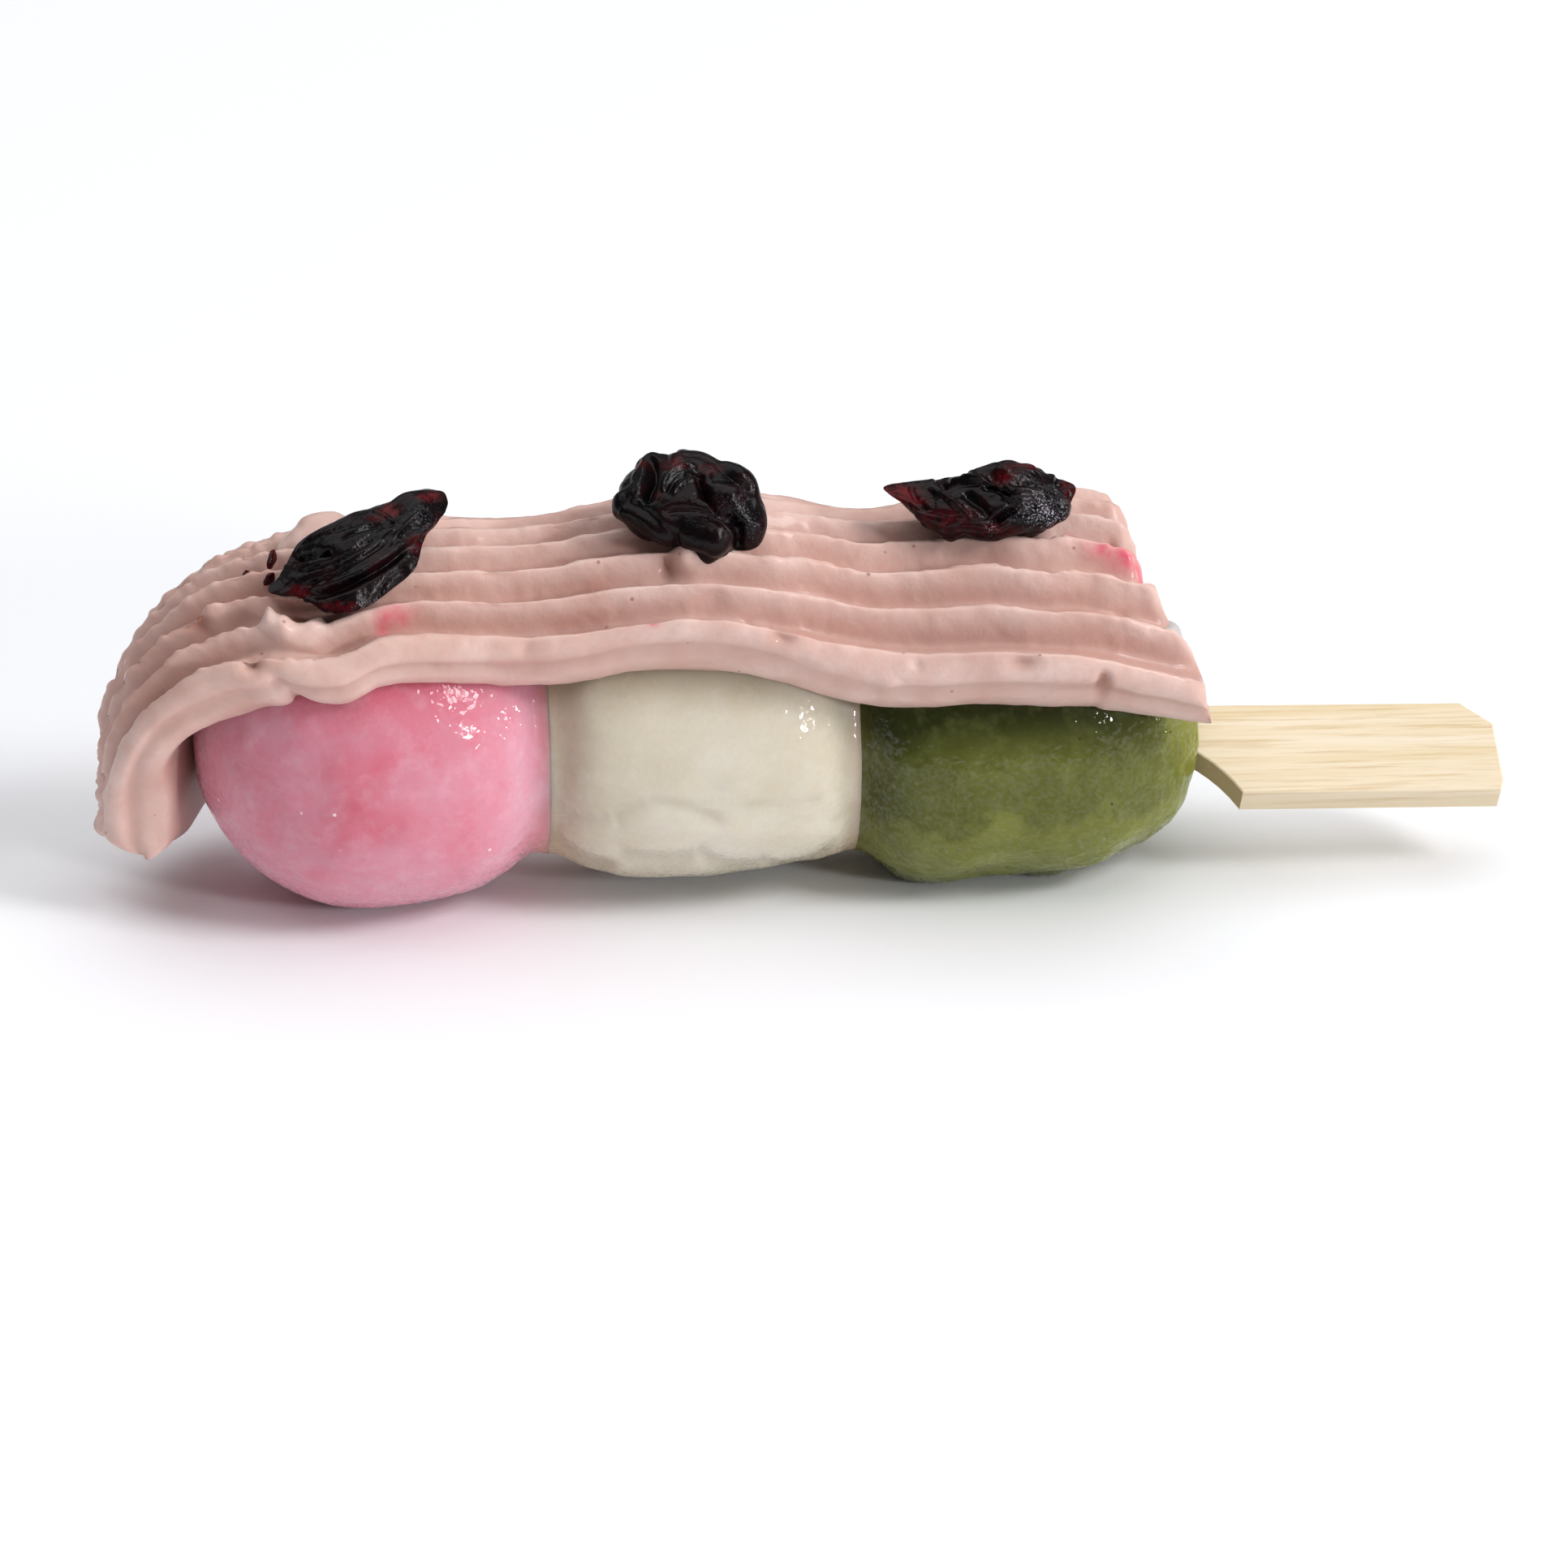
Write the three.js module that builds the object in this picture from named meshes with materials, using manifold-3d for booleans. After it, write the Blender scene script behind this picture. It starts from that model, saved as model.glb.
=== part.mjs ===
import * as THREE from "three";
import Module from "manifold-3d";
import { mergeVertices } from "three/addons/utils/BufferGeometryUtils.js";

// Dango skewer: three rice dumplings on a flat bamboo paddle skewer, lying on its side under a ribbed
// ribbon of cream that carries three dried cherries. Millimetres; X runs along the skewer with the
// handle at +X, -Y is the front, Z = 0 is the surface it lies on.

const gap = 0.3; // between pieces that touch

// Dumplings, pressed together at the join planes. Each is a body of revolution about the skewer: its
// half lengths and bulges (2 is an ellipse, more is squarer) differ on the left and on the right.
const pink = {
  name: "dango_pink",
  x: -30,
  z: 15.6,
  radius: 16.1,
  left: 16.2,
  right: 19,
  bulgeLeft: 2,
  bulgeRight: 2.1,
  color: 0xd98aa3,
};
const white = {
  name: "dango_white",
  x: 0,
  z: 15.5,
  radius: 14.1,
  left: 18.5,
  right: 18.5,
  bulgeLeft: 2.8,
  bulgeRight: 2.8,
  color: 0xd6cdb8,
};
const green = {
  name: "dango_green",
  x: 30.7,
  z: 13.3,
  radius: 14.4,
  left: 20,
  right: 16.5,
  bulgeLeft: 3.2,
  bulgeRight: 2.2,
  color: 0x72803c,
};
const balls = [pink, white, green];
const pinkWhiteJoin = -14.25;
const whiteGreenJoin = 14.25;
const ballSegments = 32;
const ballRings = 16;

// Skewer: 120 mm long, cut from 2.65 mm board; the pin runs along the paddle's far edge.
const skewerTip = -45;
const skewerEnd = 75;
const boardThickness = 2.65;
const farEdge = 1.35;
const nearEdge = -9.2;
const pinNearEdge = -1.95;
const pinTaper = 8; // length of the point
const shoulderStart = 43; // where the pin starts to widen
const shoulderCurve = [45.5, -3.4, 48.3, -5.2]; // the two handles of the curve that widens it
const paddleStart = 50.2;
const farCorner = [2.8, 2.55]; // chamfer along the skewer and across it
const nearCorner = [0.4, 1.2];
const paddleRoll = THREE.MathUtils.degToRad(27); // the board leans towards the front
const skewerSlope = Math.atan((pink.z - green.z) / (green.x - pink.x));
const edgeBevel = 0.12;

// Cream ribbon: runs along the tops of the dumplings, bends down round the left end of the pink one
// and hangs there. "along" is measured from the pink dumpling's middle, and is negative on the bend.
// Angles are about the skewer, from straight up towards the front, in degrees.
const bendRadius = 16.3;
const bendLength = (bendRadius * Math.PI) / 2;
const ribbonStart = -35.2;
const ribbonEndFront = 75.2;
const ribbonEndBack = 70.6;
const ridgeCount = 7;
const ridgeDepth = 1.5;
const ridgeSharpness = 1.35;
const backEdgeWidth = 9; // degrees from the last ridge to the back edge
const undersideGap = 0.6; // flat facets come closer to each other than the curves they stand for
const bridgeRadius = 13; // the underside spans the hollows between dumplings
const lipThickness = 0.6; // least thickness of the front and back edges
const undersideTuck = 2; // degrees that the underside stays behind those edges
const drapeFlare = 16; // degrees: the hanging end opens towards the front
const flareLimit = 50;
const drapeStart = 16; // distances round the bend between which it becomes the hanging end
const drapeFull = 26;
const drapeBackSink = 4.5; // the hanging end's far side lies lower, more so over these degrees
const sinkFrom = 5;
const sinkTo = 45;
const endRounding = 1.4;
const endFullness = 0.3; // the section's share that is left at the very ends
const spineDrop = 1.8; // of the line that the sections are measured from, past the green dumpling
const stations = [
  // along, crest radius, first ridge's angle, angle between ridges, front edge's angle
  [-38, 25.2, 8, 8, 18],
  [-26, 25.2, 16, 7.5, 21],
  [-14, 22.3, 31, 9.5, 42],
  [-5, 19.8, 45, 11.5, 55],
  [2, 20.1, 41, 10.5, 51],
  [14, 19.4, 42.5, 11.5, 51],
  [30, 21.6, 42, 10.3, 49],
  [46, 20.2, 48, 12.3, 60],
  [62, 22.7, 50, 11.2, 59],
  [76, 20.9, 56, 11.5, 66],
];

// Dried cherries, each pressed into the cream at a place on the ribbon. "turn" is the long axis's
// angle from the skewer towards the back, "lift" raises its right end, in degrees.
const cherries = [
  {
    name: "cherry_left",
    along: -1,
    angle: 15,
    height: 21.6,
    turn: 36,
    lift: 6,
    size: [18.5, 9.6, 6.4],
    folds: 3,
    phase: 0.6,
    taper: 0.22,
  },
  {
    name: "cherry_middle",
    along: 29.5,
    angle: 10,
    height: 24.2,
    turn: -32,
    lift: -6,
    size: [15, 10.6, 8.6],
    folds: 5,
    phase: 2.1,
    taper: -0.14,
  },
  {
    name: "cherry_right",
    along: 56,
    angle: 6,
    height: 24.2,
    turn: 4,
    lift: 0,
    size: [18, 9.2, 6.6],
    folds: 2,
    phase: 4.4,
    taper: 0.05,
  },
];
const foldDepth = 0.09; // shares of the cherry's half size
const wrinkleDepth = 0.04;
const lumpDepth = 0.07;
const foldSkew = 0.08;
const foldBend = 0.1;

const { degToRad, lerp, clamp, smoothstep } = THREE.MathUtils;

// ---- solids and booleans

const wasm = await Module();
wasm.setup();

function toSolid(geometry) {
  const bare = new THREE.BufferGeometry();
  bare.setAttribute("position", geometry.getAttribute("position"));
  bare.setIndex(geometry.index);
  const merged = mergeVertices(bare, 1e-3);
  const mesh = new wasm.Mesh({
    numProp: 3,
    vertProperties: new Float32Array(merged.attributes.position.array),
    triVerts: new Uint32Array(merged.index.array),
  });
  return new wasm.Manifold(mesh);
}

function toGeometry(solid) {
  const mesh = solid.getMesh();
  const geometry = new THREE.BufferGeometry();
  geometry.setAttribute("position", new THREE.BufferAttribute(mesh.vertProperties, 3));
  geometry.setIndex(new THREE.BufferAttribute(mesh.triVerts, 1));
  geometry.computeVertexNormals();
  return geometry;
}

function cutAway(geometry, ...tools) {
  const cut = tools.reduce((rest, tool) => rest.subtract(toSolid(tool)), toSolid(geometry));
  const largest = cut.decompose().sort((a, b) => b.volume() - a.volume())[0];
  return toGeometry(largest);
}

function node(name, geometry, color, roughness) {
  const material = new THREE.MeshStandardMaterial({ color, roughness, metalness: 0 });
  const mesh = new THREE.Mesh(geometry, material);
  mesh.name = name;
  return mesh;
}

// ---- dumplings

function ballRadius(ball, x) {
  const offset = x - ball.x;
  const half = offset < 0 ? ball.left : ball.right;
  const bulge = offset < 0 ? ball.bulgeLeft : ball.bulgeRight;
  const share = Math.min(1, Math.abs(offset) / half);
  return ball.radius * Math.pow(1 - Math.pow(share, bulge), 1 / bulge);
}

// A lathe about the skewer between two planes, flattened where it would reach below the floor.
function ballGeometry(ball, low, high) {
  const profile = [new THREE.Vector2(0, low)];
  for (let i = 0; i <= ballRings; i++) {
    const x = lerp(low, high, 0.5 - 0.5 * Math.cos((Math.PI * i) / ballRings));
    const radius = ballRadius(ball, x);
    if (radius > 0.01) profile.push(new THREE.Vector2(radius, x));
  }
  profile.push(new THREE.Vector2(0, high));
  const geometry = new THREE.LatheGeometry(profile, ballSegments);
  geometry.rotateZ(-Math.PI / 2);
  geometry.translate(0, 0, ball.z);
  const position = geometry.attributes.position;
  for (let i = 0; i < position.count; i++) position.setZ(i, Math.max(0, position.getZ(i)));
  return geometry;
}

// ---- skewer

// With grow, larger along its long edges: what the dumplings are bored with.
function skewerOutline(grow) {
  const near = pinNearEdge - grow;
  const far = farEdge + grow;
  const [startX, startY, endX, endY] = shoulderCurve;
  const shape = new THREE.Shape();
  shape.moveTo(skewerTip - grow, (farEdge + pinNearEdge) / 2);
  shape.lineTo(skewerTip + pinTaper, near);
  shape.lineTo(shoulderStart, near);
  shape.bezierCurveTo(startX, startY - grow, endX, endY - grow, paddleStart, nearEdge - grow);
  shape.lineTo(skewerEnd - nearCorner[0], nearEdge - grow);
  shape.lineTo(skewerEnd, nearEdge + nearCorner[1]);
  shape.lineTo(skewerEnd, farEdge - farCorner[1]);
  shape.lineTo(skewerEnd - farCorner[0], far);
  shape.lineTo(skewerTip + pinTaper, far);
  shape.closePath();
  return shape;
}

function boardGeometry(outline, thickness, bevel) {
  const geometry = new THREE.ExtrudeGeometry(outline, {
    depth: thickness - 2 * bevel,
    curveSegments: 8,
    bevelEnabled: bevel > 0,
    bevelThickness: bevel,
    bevelSize: bevel,
    bevelOffset: -bevel,
    bevelSegments: 1,
  });
  geometry.translate(0, 0, bevel - thickness / 2);
  return geometry;
}

// Lays the board on the skewer's line: leaned towards the front, and sloping down to the handle.
function onSkewerLine() {
  const lean = new THREE.Matrix4().makeRotationX(paddleRoll);
  const slope = new THREE.Matrix4().makeRotationY(skewerSlope);
  const toPink = new THREE.Matrix4().makeTranslation(pink.x, 0, pink.z);
  const fromPink = new THREE.Matrix4().makeTranslation(-pink.x, 0, 0);
  return toPink.multiply(slope).multiply(lean).multiply(fromPink);
}

// ---- cream ribbon

const stationTable = new THREE.CubicInterpolant(
  stations.map((row) => row[0]),
  stations.flatMap((row) => row.slice(1)),
  4,
);
const spineHeights = new THREE.CubicInterpolant(
  [pink.x, white.x, green.x, skewerEnd],
  [pink.z, white.z, green.z, green.z - spineDrop],
  1,
);

function stationAt(along) {
  const [crest, firstRidge, step, lip] = stationTable.evaluate(along);
  return { along, crest, firstRidge, step, lip };
}

// The section's middle and its outward direction: over the row, round the bend, down the drape.
function sectionFrame(along) {
  const turned = clamp(-along / bendRadius, 0, Math.PI / 2);
  const x = pink.x + Math.max(0, along);
  const z = spineHeights.evaluate(x)[0] - Math.max(0, -along - bendLength);
  return {
    middle: new THREE.Vector3(x, 0, z),
    outward: new THREE.Vector3(-Math.sin(turned), 0, Math.cos(turned)),
  };
}

function drapeShare(along) {
  return smoothstep(-along, drapeStart, drapeFull);
}

function undersideRadius(along, angle) {
  const x = pink.x + Math.max(0, along);
  const overBalls = Math.max(bridgeRadius, ...balls.map((ball) => ballRadius(ball, x)));
  const onBend = along < 0 ? pink.radius : overBalls;
  const opened = clamp(angle + drapeFlare, 0, flareLimit);
  const flare = drapeShare(along) * (1 / Math.cos(degToRad(opened)) - 1);
  return (onBend + undersideGap) * (1 + flare);
}

function crestRadius(station, angle) {
  return station.crest - drapeBackSink * drapeShare(station.along) * smoothstep(-angle, sinkFrom, sinkTo);
}

// The section's outline as places that know where they lie at any station: across is 0 at the front
// edge and 1 at the back, and at() gives an angle and a radius.
function sectionPlaces() {
  const places = [];
  const edgeSteps = 4;
  for (let i = 0; i < edgeSteps; i++) {
    const turn = (i / edgeSteps) * (Math.PI / 2);
    places.push({
      across: 0,
      at: (q) => {
        const lipRadius = undersideRadius(q.along, q.lip) + lipThickness;
        const angle = q.firstRidge + (q.lip - q.firstRidge) * Math.cos(turn);
        return [angle, lerp(lipRadius, crestRadius(q, angle), Math.sin(turn))];
      },
    });
  }
  const ridgeSteps = 4;
  for (let i = 0; i <= (ridgeCount - 1) * ridgeSteps; i++) {
    const ridge = i / ridgeSteps;
    const groove = ridgeDepth * Math.pow(Math.abs(Math.sin(Math.PI * ridge)), ridgeSharpness);
    places.push({
      across: ridge / (ridgeCount - 1),
      at: (q) => {
        const angle = q.firstRidge - ridge * q.step;
        return [angle, crestRadius(q, angle) - groove];
      },
    });
  }
  for (let i = 1; i <= edgeSteps; i++) {
    const turn = (i / edgeSteps) * (Math.PI / 2);
    places.push({
      across: 1,
      at: (q) => {
        const last = q.firstRidge - (ridgeCount - 1) * q.step;
        const angle = last - backEdgeWidth * Math.sin(turn);
        const lipRadius = undersideRadius(q.along, angle) + lipThickness;
        return [angle, lerp(lipRadius, crestRadius(q, angle), Math.cos(turn))];
      },
    });
  }
  const underSteps = 9;
  for (let i = 0; i <= underSteps; i++) {
    const share = i / underSteps;
    places.push({
      across: 1 - share,
      at: (q) => {
        const back = q.firstRidge - (ridgeCount - 1) * q.step - backEdgeWidth + undersideTuck;
        const angle = lerp(back, q.lip - undersideTuck, share);
        return [angle, undersideRadius(q.along, angle)];
      },
    });
  }
  return places;
}

// Sections carried along the ribbon, thinned to a rounded rim at both ends and closed by flat caps.
function ribbonGeometry(grow) {
  const places = sectionPlaces();
  const middleSteps = 42;
  const length = ribbonEndBack - ribbonStart;
  const inset = [0, 0.12 * endRounding, 0.5 * endRounding, endRounding];
  const shares = inset.map((d) => d / length);
  for (let i = 1; i < middleSteps; i++) shares.push(lerp(shares[3], 1 - shares[3], i / middleSteps));
  for (const d of [...inset].reverse()) shares.push(1 - d / length);

  const positions = [];
  let firstCap = [];
  let lastCap = [];
  for (const share of shares) {
    const fromEnd = Math.min(share, 1 - share) * length;
    const rim = Math.max(0, 1 - fromEnd / endRounding);
    const fullness = lerp(endFullness, 1, Math.sqrt(1 - rim * rim));
    const flat = [];
    for (const { across, at } of places) {
      const end = lerp(ribbonEndFront, ribbonEndBack, smoothstep(across, 0, 0.5));
      const along = lerp(ribbonStart, end, share);
      const station = stationAt(along);
      const [angle, full] = at(station);
      const inside = undersideRadius(along, angle);
      const core = (inside + station.crest) / 2;
      const radius = core + (full - core) * fullness + grow * Math.sign(full - core);
      const { middle, outward } = sectionFrame(along);
      const a = degToRad(angle);
      const point = middle.clone().addScaledVector(outward, radius * Math.cos(a));
      point.y -= radius * Math.sin(a);
      positions.push(point.x, point.y, point.z);
      flat.push(new THREE.Vector2(radius * Math.sin(a), radius * Math.cos(a)));
    }
    if (share === 0) firstCap = flat;
    lastCap = flat;
  }

  const index = [];
  const around = places.length;
  const corner = (row, column) => row * around + (column % around);
  for (let row = 0; row < shares.length - 1; row++) {
    for (let column = 0; column < around; column++) {
      const a = corner(row, column);
      const b = corner(row, column + 1);
      const c = corner(row + 1, column + 1);
      const d = corner(row + 1, column);
      index.push(a, d, b, b, d, c);
    }
  }
  for (const [a, b, c] of capTriangles(firstCap)) index.push(a, b, c);
  const lastRow = (shares.length - 1) * around;
  for (const [a, b, c] of capTriangles(lastCap)) index.push(lastRow + a, lastRow + c, lastRow + b);

  const geometry = new THREE.BufferGeometry();
  geometry.setAttribute("position", new THREE.Float32BufferAttribute(positions, 3));
  geometry.setIndex(index);
  return geometry;
}

// Triangles over a section's outline, turned so that they agree with the order of its points.
function capTriangles(flat) {
  const turnedBack = THREE.ShapeUtils.isClockWise(flat);
  const faces = THREE.ShapeUtils.triangulateShape(flat, []);
  const winding = (face) => {
    const [a, b, c] = face.map((i) => flat[i]);
    return (b.x - a.x) * (c.y - a.y) - (c.x - a.x) * (b.y - a.y) < 0;
  };
  return faces.map((face) => (winding(face) === turnedBack ? face : [face[0], face[2], face[1]]));
}

// ---- dried cherries

// A wrinkled oval: lengthwise folds run from tip to tip and one end is narrower than the other.
function cherryGeometry(cherry) {
  const geometry = new THREE.SphereGeometry(1, 22, 13);
  geometry.rotateZ(Math.PI / 2);
  const position = geometry.attributes.position;
  const point = new THREE.Vector3();
  const [length, width, thickness] = cherry.size;
  for (let i = 0; i < position.count; i++) {
    point.fromBufferAttribute(position, i);
    const { x } = point;
    const turn = Math.atan2(point.z, point.y);
    const belt = 1 - x * x;
    const folds = foldDepth * Math.sin(cherry.folds * turn + cherry.phase + 1.3 * x);
    const wrinkles = wrinkleDepth * Math.sin((2 * cherry.folds + 3) * turn + 2 * cherry.phase + 3 * x);
    const lumps = lumpDepth * Math.sin(4 * x + cherry.phase);
    const swell = 1 + (folds + wrinkles + lumps) * belt;
    const narrow = 1 - cherry.taper * x;
    point.y *= swell * narrow;
    point.z *= swell * narrow;
    point.x += foldSkew * Math.sin(3 * turn + cherry.phase) * belt * x;
    point.z += foldBend * Math.cos(2.4 * x + cherry.phase);
    position.setXYZ(i, (point.x * length) / 2, (point.y * width) / 2, (point.z * thickness) / 2);
  }
  return geometry;
}

// Stands a cherry on the ribbon: x along it, y towards the back, z outwards, then turned and lifted.
function onRibbon(cherry) {
  const { middle, outward } = sectionFrame(cherry.along);
  const angle = degToRad(cherry.angle);
  const out = outward.clone().multiplyScalar(Math.cos(angle));
  out.y -= Math.sin(angle);
  const forward = new THREE.Vector3(outward.z, 0, -outward.x);
  const back = new THREE.Vector3().crossVectors(out, forward).normalize();
  const place = new THREE.Matrix4().makeBasis(forward, back, out);
  place.setPosition(middle.clone().addScaledVector(out, cherry.height));
  place.multiply(new THREE.Matrix4().makeRotationZ(degToRad(cherry.turn)));
  place.multiply(new THREE.Matrix4().makeRotationY(degToRad(-cherry.lift)));
  return place;
}

// ---- the whole

const model = new THREE.Group();

const skewer = node("skewer", boardGeometry(skewerOutline(0), boardThickness, edgeBevel), 0xead6a6, 0.6);
skewer.applyMatrix4(onSkewerLine());
model.add(skewer);

const bore = boardGeometry(skewerOutline(gap), boardThickness + 2 * gap, 0);
bore.applyMatrix4(onSkewerLine());

const spans = [
  [pink, pink.x - pink.left, pinkWhiteJoin - gap / 2],
  [white, pinkWhiteJoin + gap / 2, whiteGreenJoin - gap / 2],
  [green, whiteGreenJoin + gap / 2, green.x + green.right],
];
for (const [ball, low, high] of spans) {
  model.add(node(ball.name, cutAway(ballGeometry(ball, low, high), bore), ball.color, 0.35));
}

model.add(node("cream_ribbon", ribbonGeometry(0), 0xdfc0b8, 0.5));

const ribbonTool = ribbonGeometry(gap);
for (const cherry of cherries) {
  const geometry = cherryGeometry(cherry);
  geometry.applyMatrix4(onRibbon(cherry));
  model.add(node(cherry.name, cutAway(geometry, ribbonTool), 0x2a0c12, 0.35));
}

// The origin is the middle of the footprint, on the floor.
const bounds = new THREE.Box3().setFromObject(model);
const footprint = bounds.getCenter(new THREE.Vector3());
model.position.set(-footprint.x, -footprint.y, -bounds.min.z);

const dangoSkewer = new THREE.Group();
dangoSkewer.add(model);

export default dangoSkewer;
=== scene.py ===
import itertools
import math
import bpy
import numpy as np
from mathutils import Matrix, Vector


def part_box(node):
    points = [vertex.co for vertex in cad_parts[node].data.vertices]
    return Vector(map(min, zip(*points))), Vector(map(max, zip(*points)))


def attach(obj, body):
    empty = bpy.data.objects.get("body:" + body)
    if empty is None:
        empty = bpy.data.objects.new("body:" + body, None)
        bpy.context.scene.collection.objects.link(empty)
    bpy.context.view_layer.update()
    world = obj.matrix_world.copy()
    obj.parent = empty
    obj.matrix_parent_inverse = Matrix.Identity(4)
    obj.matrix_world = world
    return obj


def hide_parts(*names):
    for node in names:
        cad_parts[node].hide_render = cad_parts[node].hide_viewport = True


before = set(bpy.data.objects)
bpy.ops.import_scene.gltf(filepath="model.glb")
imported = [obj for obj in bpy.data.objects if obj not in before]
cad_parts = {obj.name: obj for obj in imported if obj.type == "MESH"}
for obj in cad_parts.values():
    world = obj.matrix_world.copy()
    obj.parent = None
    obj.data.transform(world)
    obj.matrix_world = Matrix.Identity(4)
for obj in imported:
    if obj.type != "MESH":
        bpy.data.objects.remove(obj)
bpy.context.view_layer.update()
mm = 0.001
print("frame loaded")


# ---- where things are: lengths in mm, x along the skewer from the white dumpling's middle,
# y from the skewer's axis towards the back, z up from the surface

def boxOf(node):
    low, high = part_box(node)
    return np.array(low) / mm, np.array(high) / mm


whiteLow, whiteHigh = boxOf("dango_white")
rowOrigin = np.array([(whiteLow[0] + whiteHigh[0]) / 2, (whiteLow[1] + whiteHigh[1]) / 2, 0.0])


# A dumpling's radius is half its box's width, and its axis lies one radius below its top.
def placed(dumpling):
    low, high = boxOf(dumpling["node"])
    dumpling["radius"] = (high[1] - low[1]) / 2
    dumpling["height"] = high[2] - dumpling["radius"]
    fromLeft, fromRight = low[0] + dumpling["left"], high[0] - dumpling["right"]
    middle = {"left": fromLeft, "right": fromRight, "both": (low[0] + high[0]) / 2}[dumpling["freeEnd"]]
    dumpling["middle"] = middle - rowOrigin[0]
    return dumpling


# left and right are the half lengths; a bulge of 2 is an ellipse, and more is squarer
pink = placed(dict(node="dango_pink", freeEnd="left", left=16.2, right=19, bulgeLeft=2, bulgeRight=2.1))
white = placed(dict(node="dango_white", freeEnd="both", left=18.5, right=18.5, bulgeLeft=2.8,
                    bulgeRight=2.8))
green = placed(dict(node="dango_green", freeEnd="right", left=20, right=16.5, bulgeLeft=3.2, bulgeRight=2.2))
halfGap = 0.15  # between the CAD dumplings; here they meet in its middle
joins = dict(pinkWhite=whiteLow[0] - rowOrigin[0] - halfGap,
             whiteGreen=whiteHigh[0] - rowOrigin[0] + halfGap)


# ---- numpy helpers

def smoothStep(value, low, high):
    t = np.clip((value - low) / (high - low), 0, 1)
    return t * t * (3 - 2 * t)


def mix(a, b, share):
    return a + (b - a) * share


def bell(distance, width):
    return np.exp(-((distance / width) ** 2))


# Smooth random values from -1 to 1: random numbers on the corners of a cubic lattice, blended
# inside each cell by the weight t^3 (6t^2 - 15t + 10) along each axis. It repeats after 24 cells.
def lumps(points, size, seed):
    cells, farCorner = 24, 100
    table = np.random.default_rng(seed).uniform(-1, 1, (cells, cells, cells))
    scaled = points / np.asarray(size, float) + farCorner
    cell = np.floor(scaled).astype(int)
    t = scaled - cell
    t = t * t * t * (t * (6 * t - 15) + 10)
    total = np.zeros(points.shape[:-1])
    for corner in itertools.product((0, 1), repeat=3):
        weight = np.prod(np.where(corner, t, 1 - t), axis=-1)
        x, y, z = np.moveaxis((cell + corner) % cells, -1, 0)
        total += weight * table[x, y, z]
    return total


# Lumps over lumps: the sum of height * lumps for each (height, size, seed).
def lumpy(points, layers):
    return sum(height * lumps(points, size, seed) for height, size, seed in layers)


# A smooth line through a few points: cubic pieces whose slope at a point is the mean of the slopes
# of the straight lines on its two sides.
def throughPoints(x, knots, values):
    knots, values = np.array(knots, float), np.array(values, float)
    slopes = np.diff(values) / np.diff(knots)
    tangents = np.concatenate([slopes[:1], (slopes[1:] + slopes[:-1]) / 2, slopes[-1:]])
    piece = np.clip(np.searchsorted(knots, x) - 1, 0, len(slopes) - 1)
    width = np.diff(knots)[piece]
    t = (x - knots[piece]) / width
    start = values[piece] * (1 + 2 * t) * (1 - t) ** 2 + tangents[piece] * width * t * (1 - t) ** 2
    end = values[piece + 1] * (3 - 2 * t) * t ** 2 + tangents[piece + 1] * width * t ** 2 * (t - 1)
    return start + end


# The unit normals of a grid whose columns close on themselves: the cross product of the steps along
# it and round it. At a pole, where a whole row is one point, the next row's mean is taken.
def gridNormals(points, poles):
    along = np.gradient(points, axis=0)
    around = np.roll(points, -1, axis=1) - np.roll(points, 1, axis=1)
    normals = np.cross(along, around)
    if poles:
        normals[0] = normals[1].mean(0)
        normals[-1] = normals[-2].mean(0)
    return normals / (np.linalg.norm(normals, axis=-1, keepdims=True) + 1e-12)


# Faces for a grid of rows and columns whose columns close: one quad between each four neighbours.
def gridFaces(rows, columns):
    row, column = np.meshgrid(np.arange(rows - 1), np.arange(columns), indexing="ij")
    after = (column + 1) % columns
    corners = [row * columns + column, row * columns + after,
               (row + 1) * columns + after, (row + 1) * columns + column]
    return np.stack(corners, -1).reshape(-1, 4)


# Makes a mesh piece from places in mm and faces, turned so that its faces point outwards: the sum of
# the little pyramids from the origin to each face is then positive.
def makePiece(name, points, faces, material, node, attributes=None):
    places = (points + rowOrigin) * mm
    fans = [(f[0], f[i], f[i + 1]) for f in faces for i in range(1, len(f) - 1)]
    a, b, c = places[np.array(fans)].transpose(1, 0, 2)
    if np.einsum("ij,ij->", a, np.cross(b, c)) < 0:
        faces = [face[::-1] for face in faces]
    mesh = bpy.data.meshes.new(name)
    mesh.from_pydata(places.tolist(), [], faces)
    mesh.polygons.foreach_set("use_smooth", [True] * len(mesh.polygons))
    for label, values in (attributes or {}).items():
        layer = mesh.attributes.new(label, "FLOAT", "POINT")
        layer.data.foreach_set("value", np.asarray(values, np.float32).ravel())
    mesh.materials.append(material)
    mesh.update()
    piece = bpy.data.objects.new(name, mesh)
    bpy.context.scene.collection.objects.link(piece)
    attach(piece, "root")
    if node:
        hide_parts(node)
    print("made", name, len(fans), "triangles")


# A closed skin from a grid whose first and last rows are each one point.
def makeSkin(name, grid, material, node, attributes=None):
    rows, columns = grid.shape[:2]
    inner = grid[1:-1].reshape(-1, 3)
    points = np.concatenate([inner, grid[:1, 0], grid[-1:, 0]])
    first, last = len(inner), len(inner) + 1
    ring = np.arange(columns)
    after = (ring + 1) % columns
    lastRow = (rows - 3) * columns
    faces = gridFaces(rows - 2, columns).tolist()
    faces += np.stack([np.full(columns, first), after, ring], -1).tolist()
    faces += np.stack([np.full(columns, last), lastRow + ring, lastRow + after], -1).tolist()
    flat = {label: np.concatenate([v[1:-1].ravel(), v[:1, 0], v[-1:, 0]])
            for label, v in (attributes or {}).items()}
    makePiece(name, points, faces, material, node, flat)


# ---- materials

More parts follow.
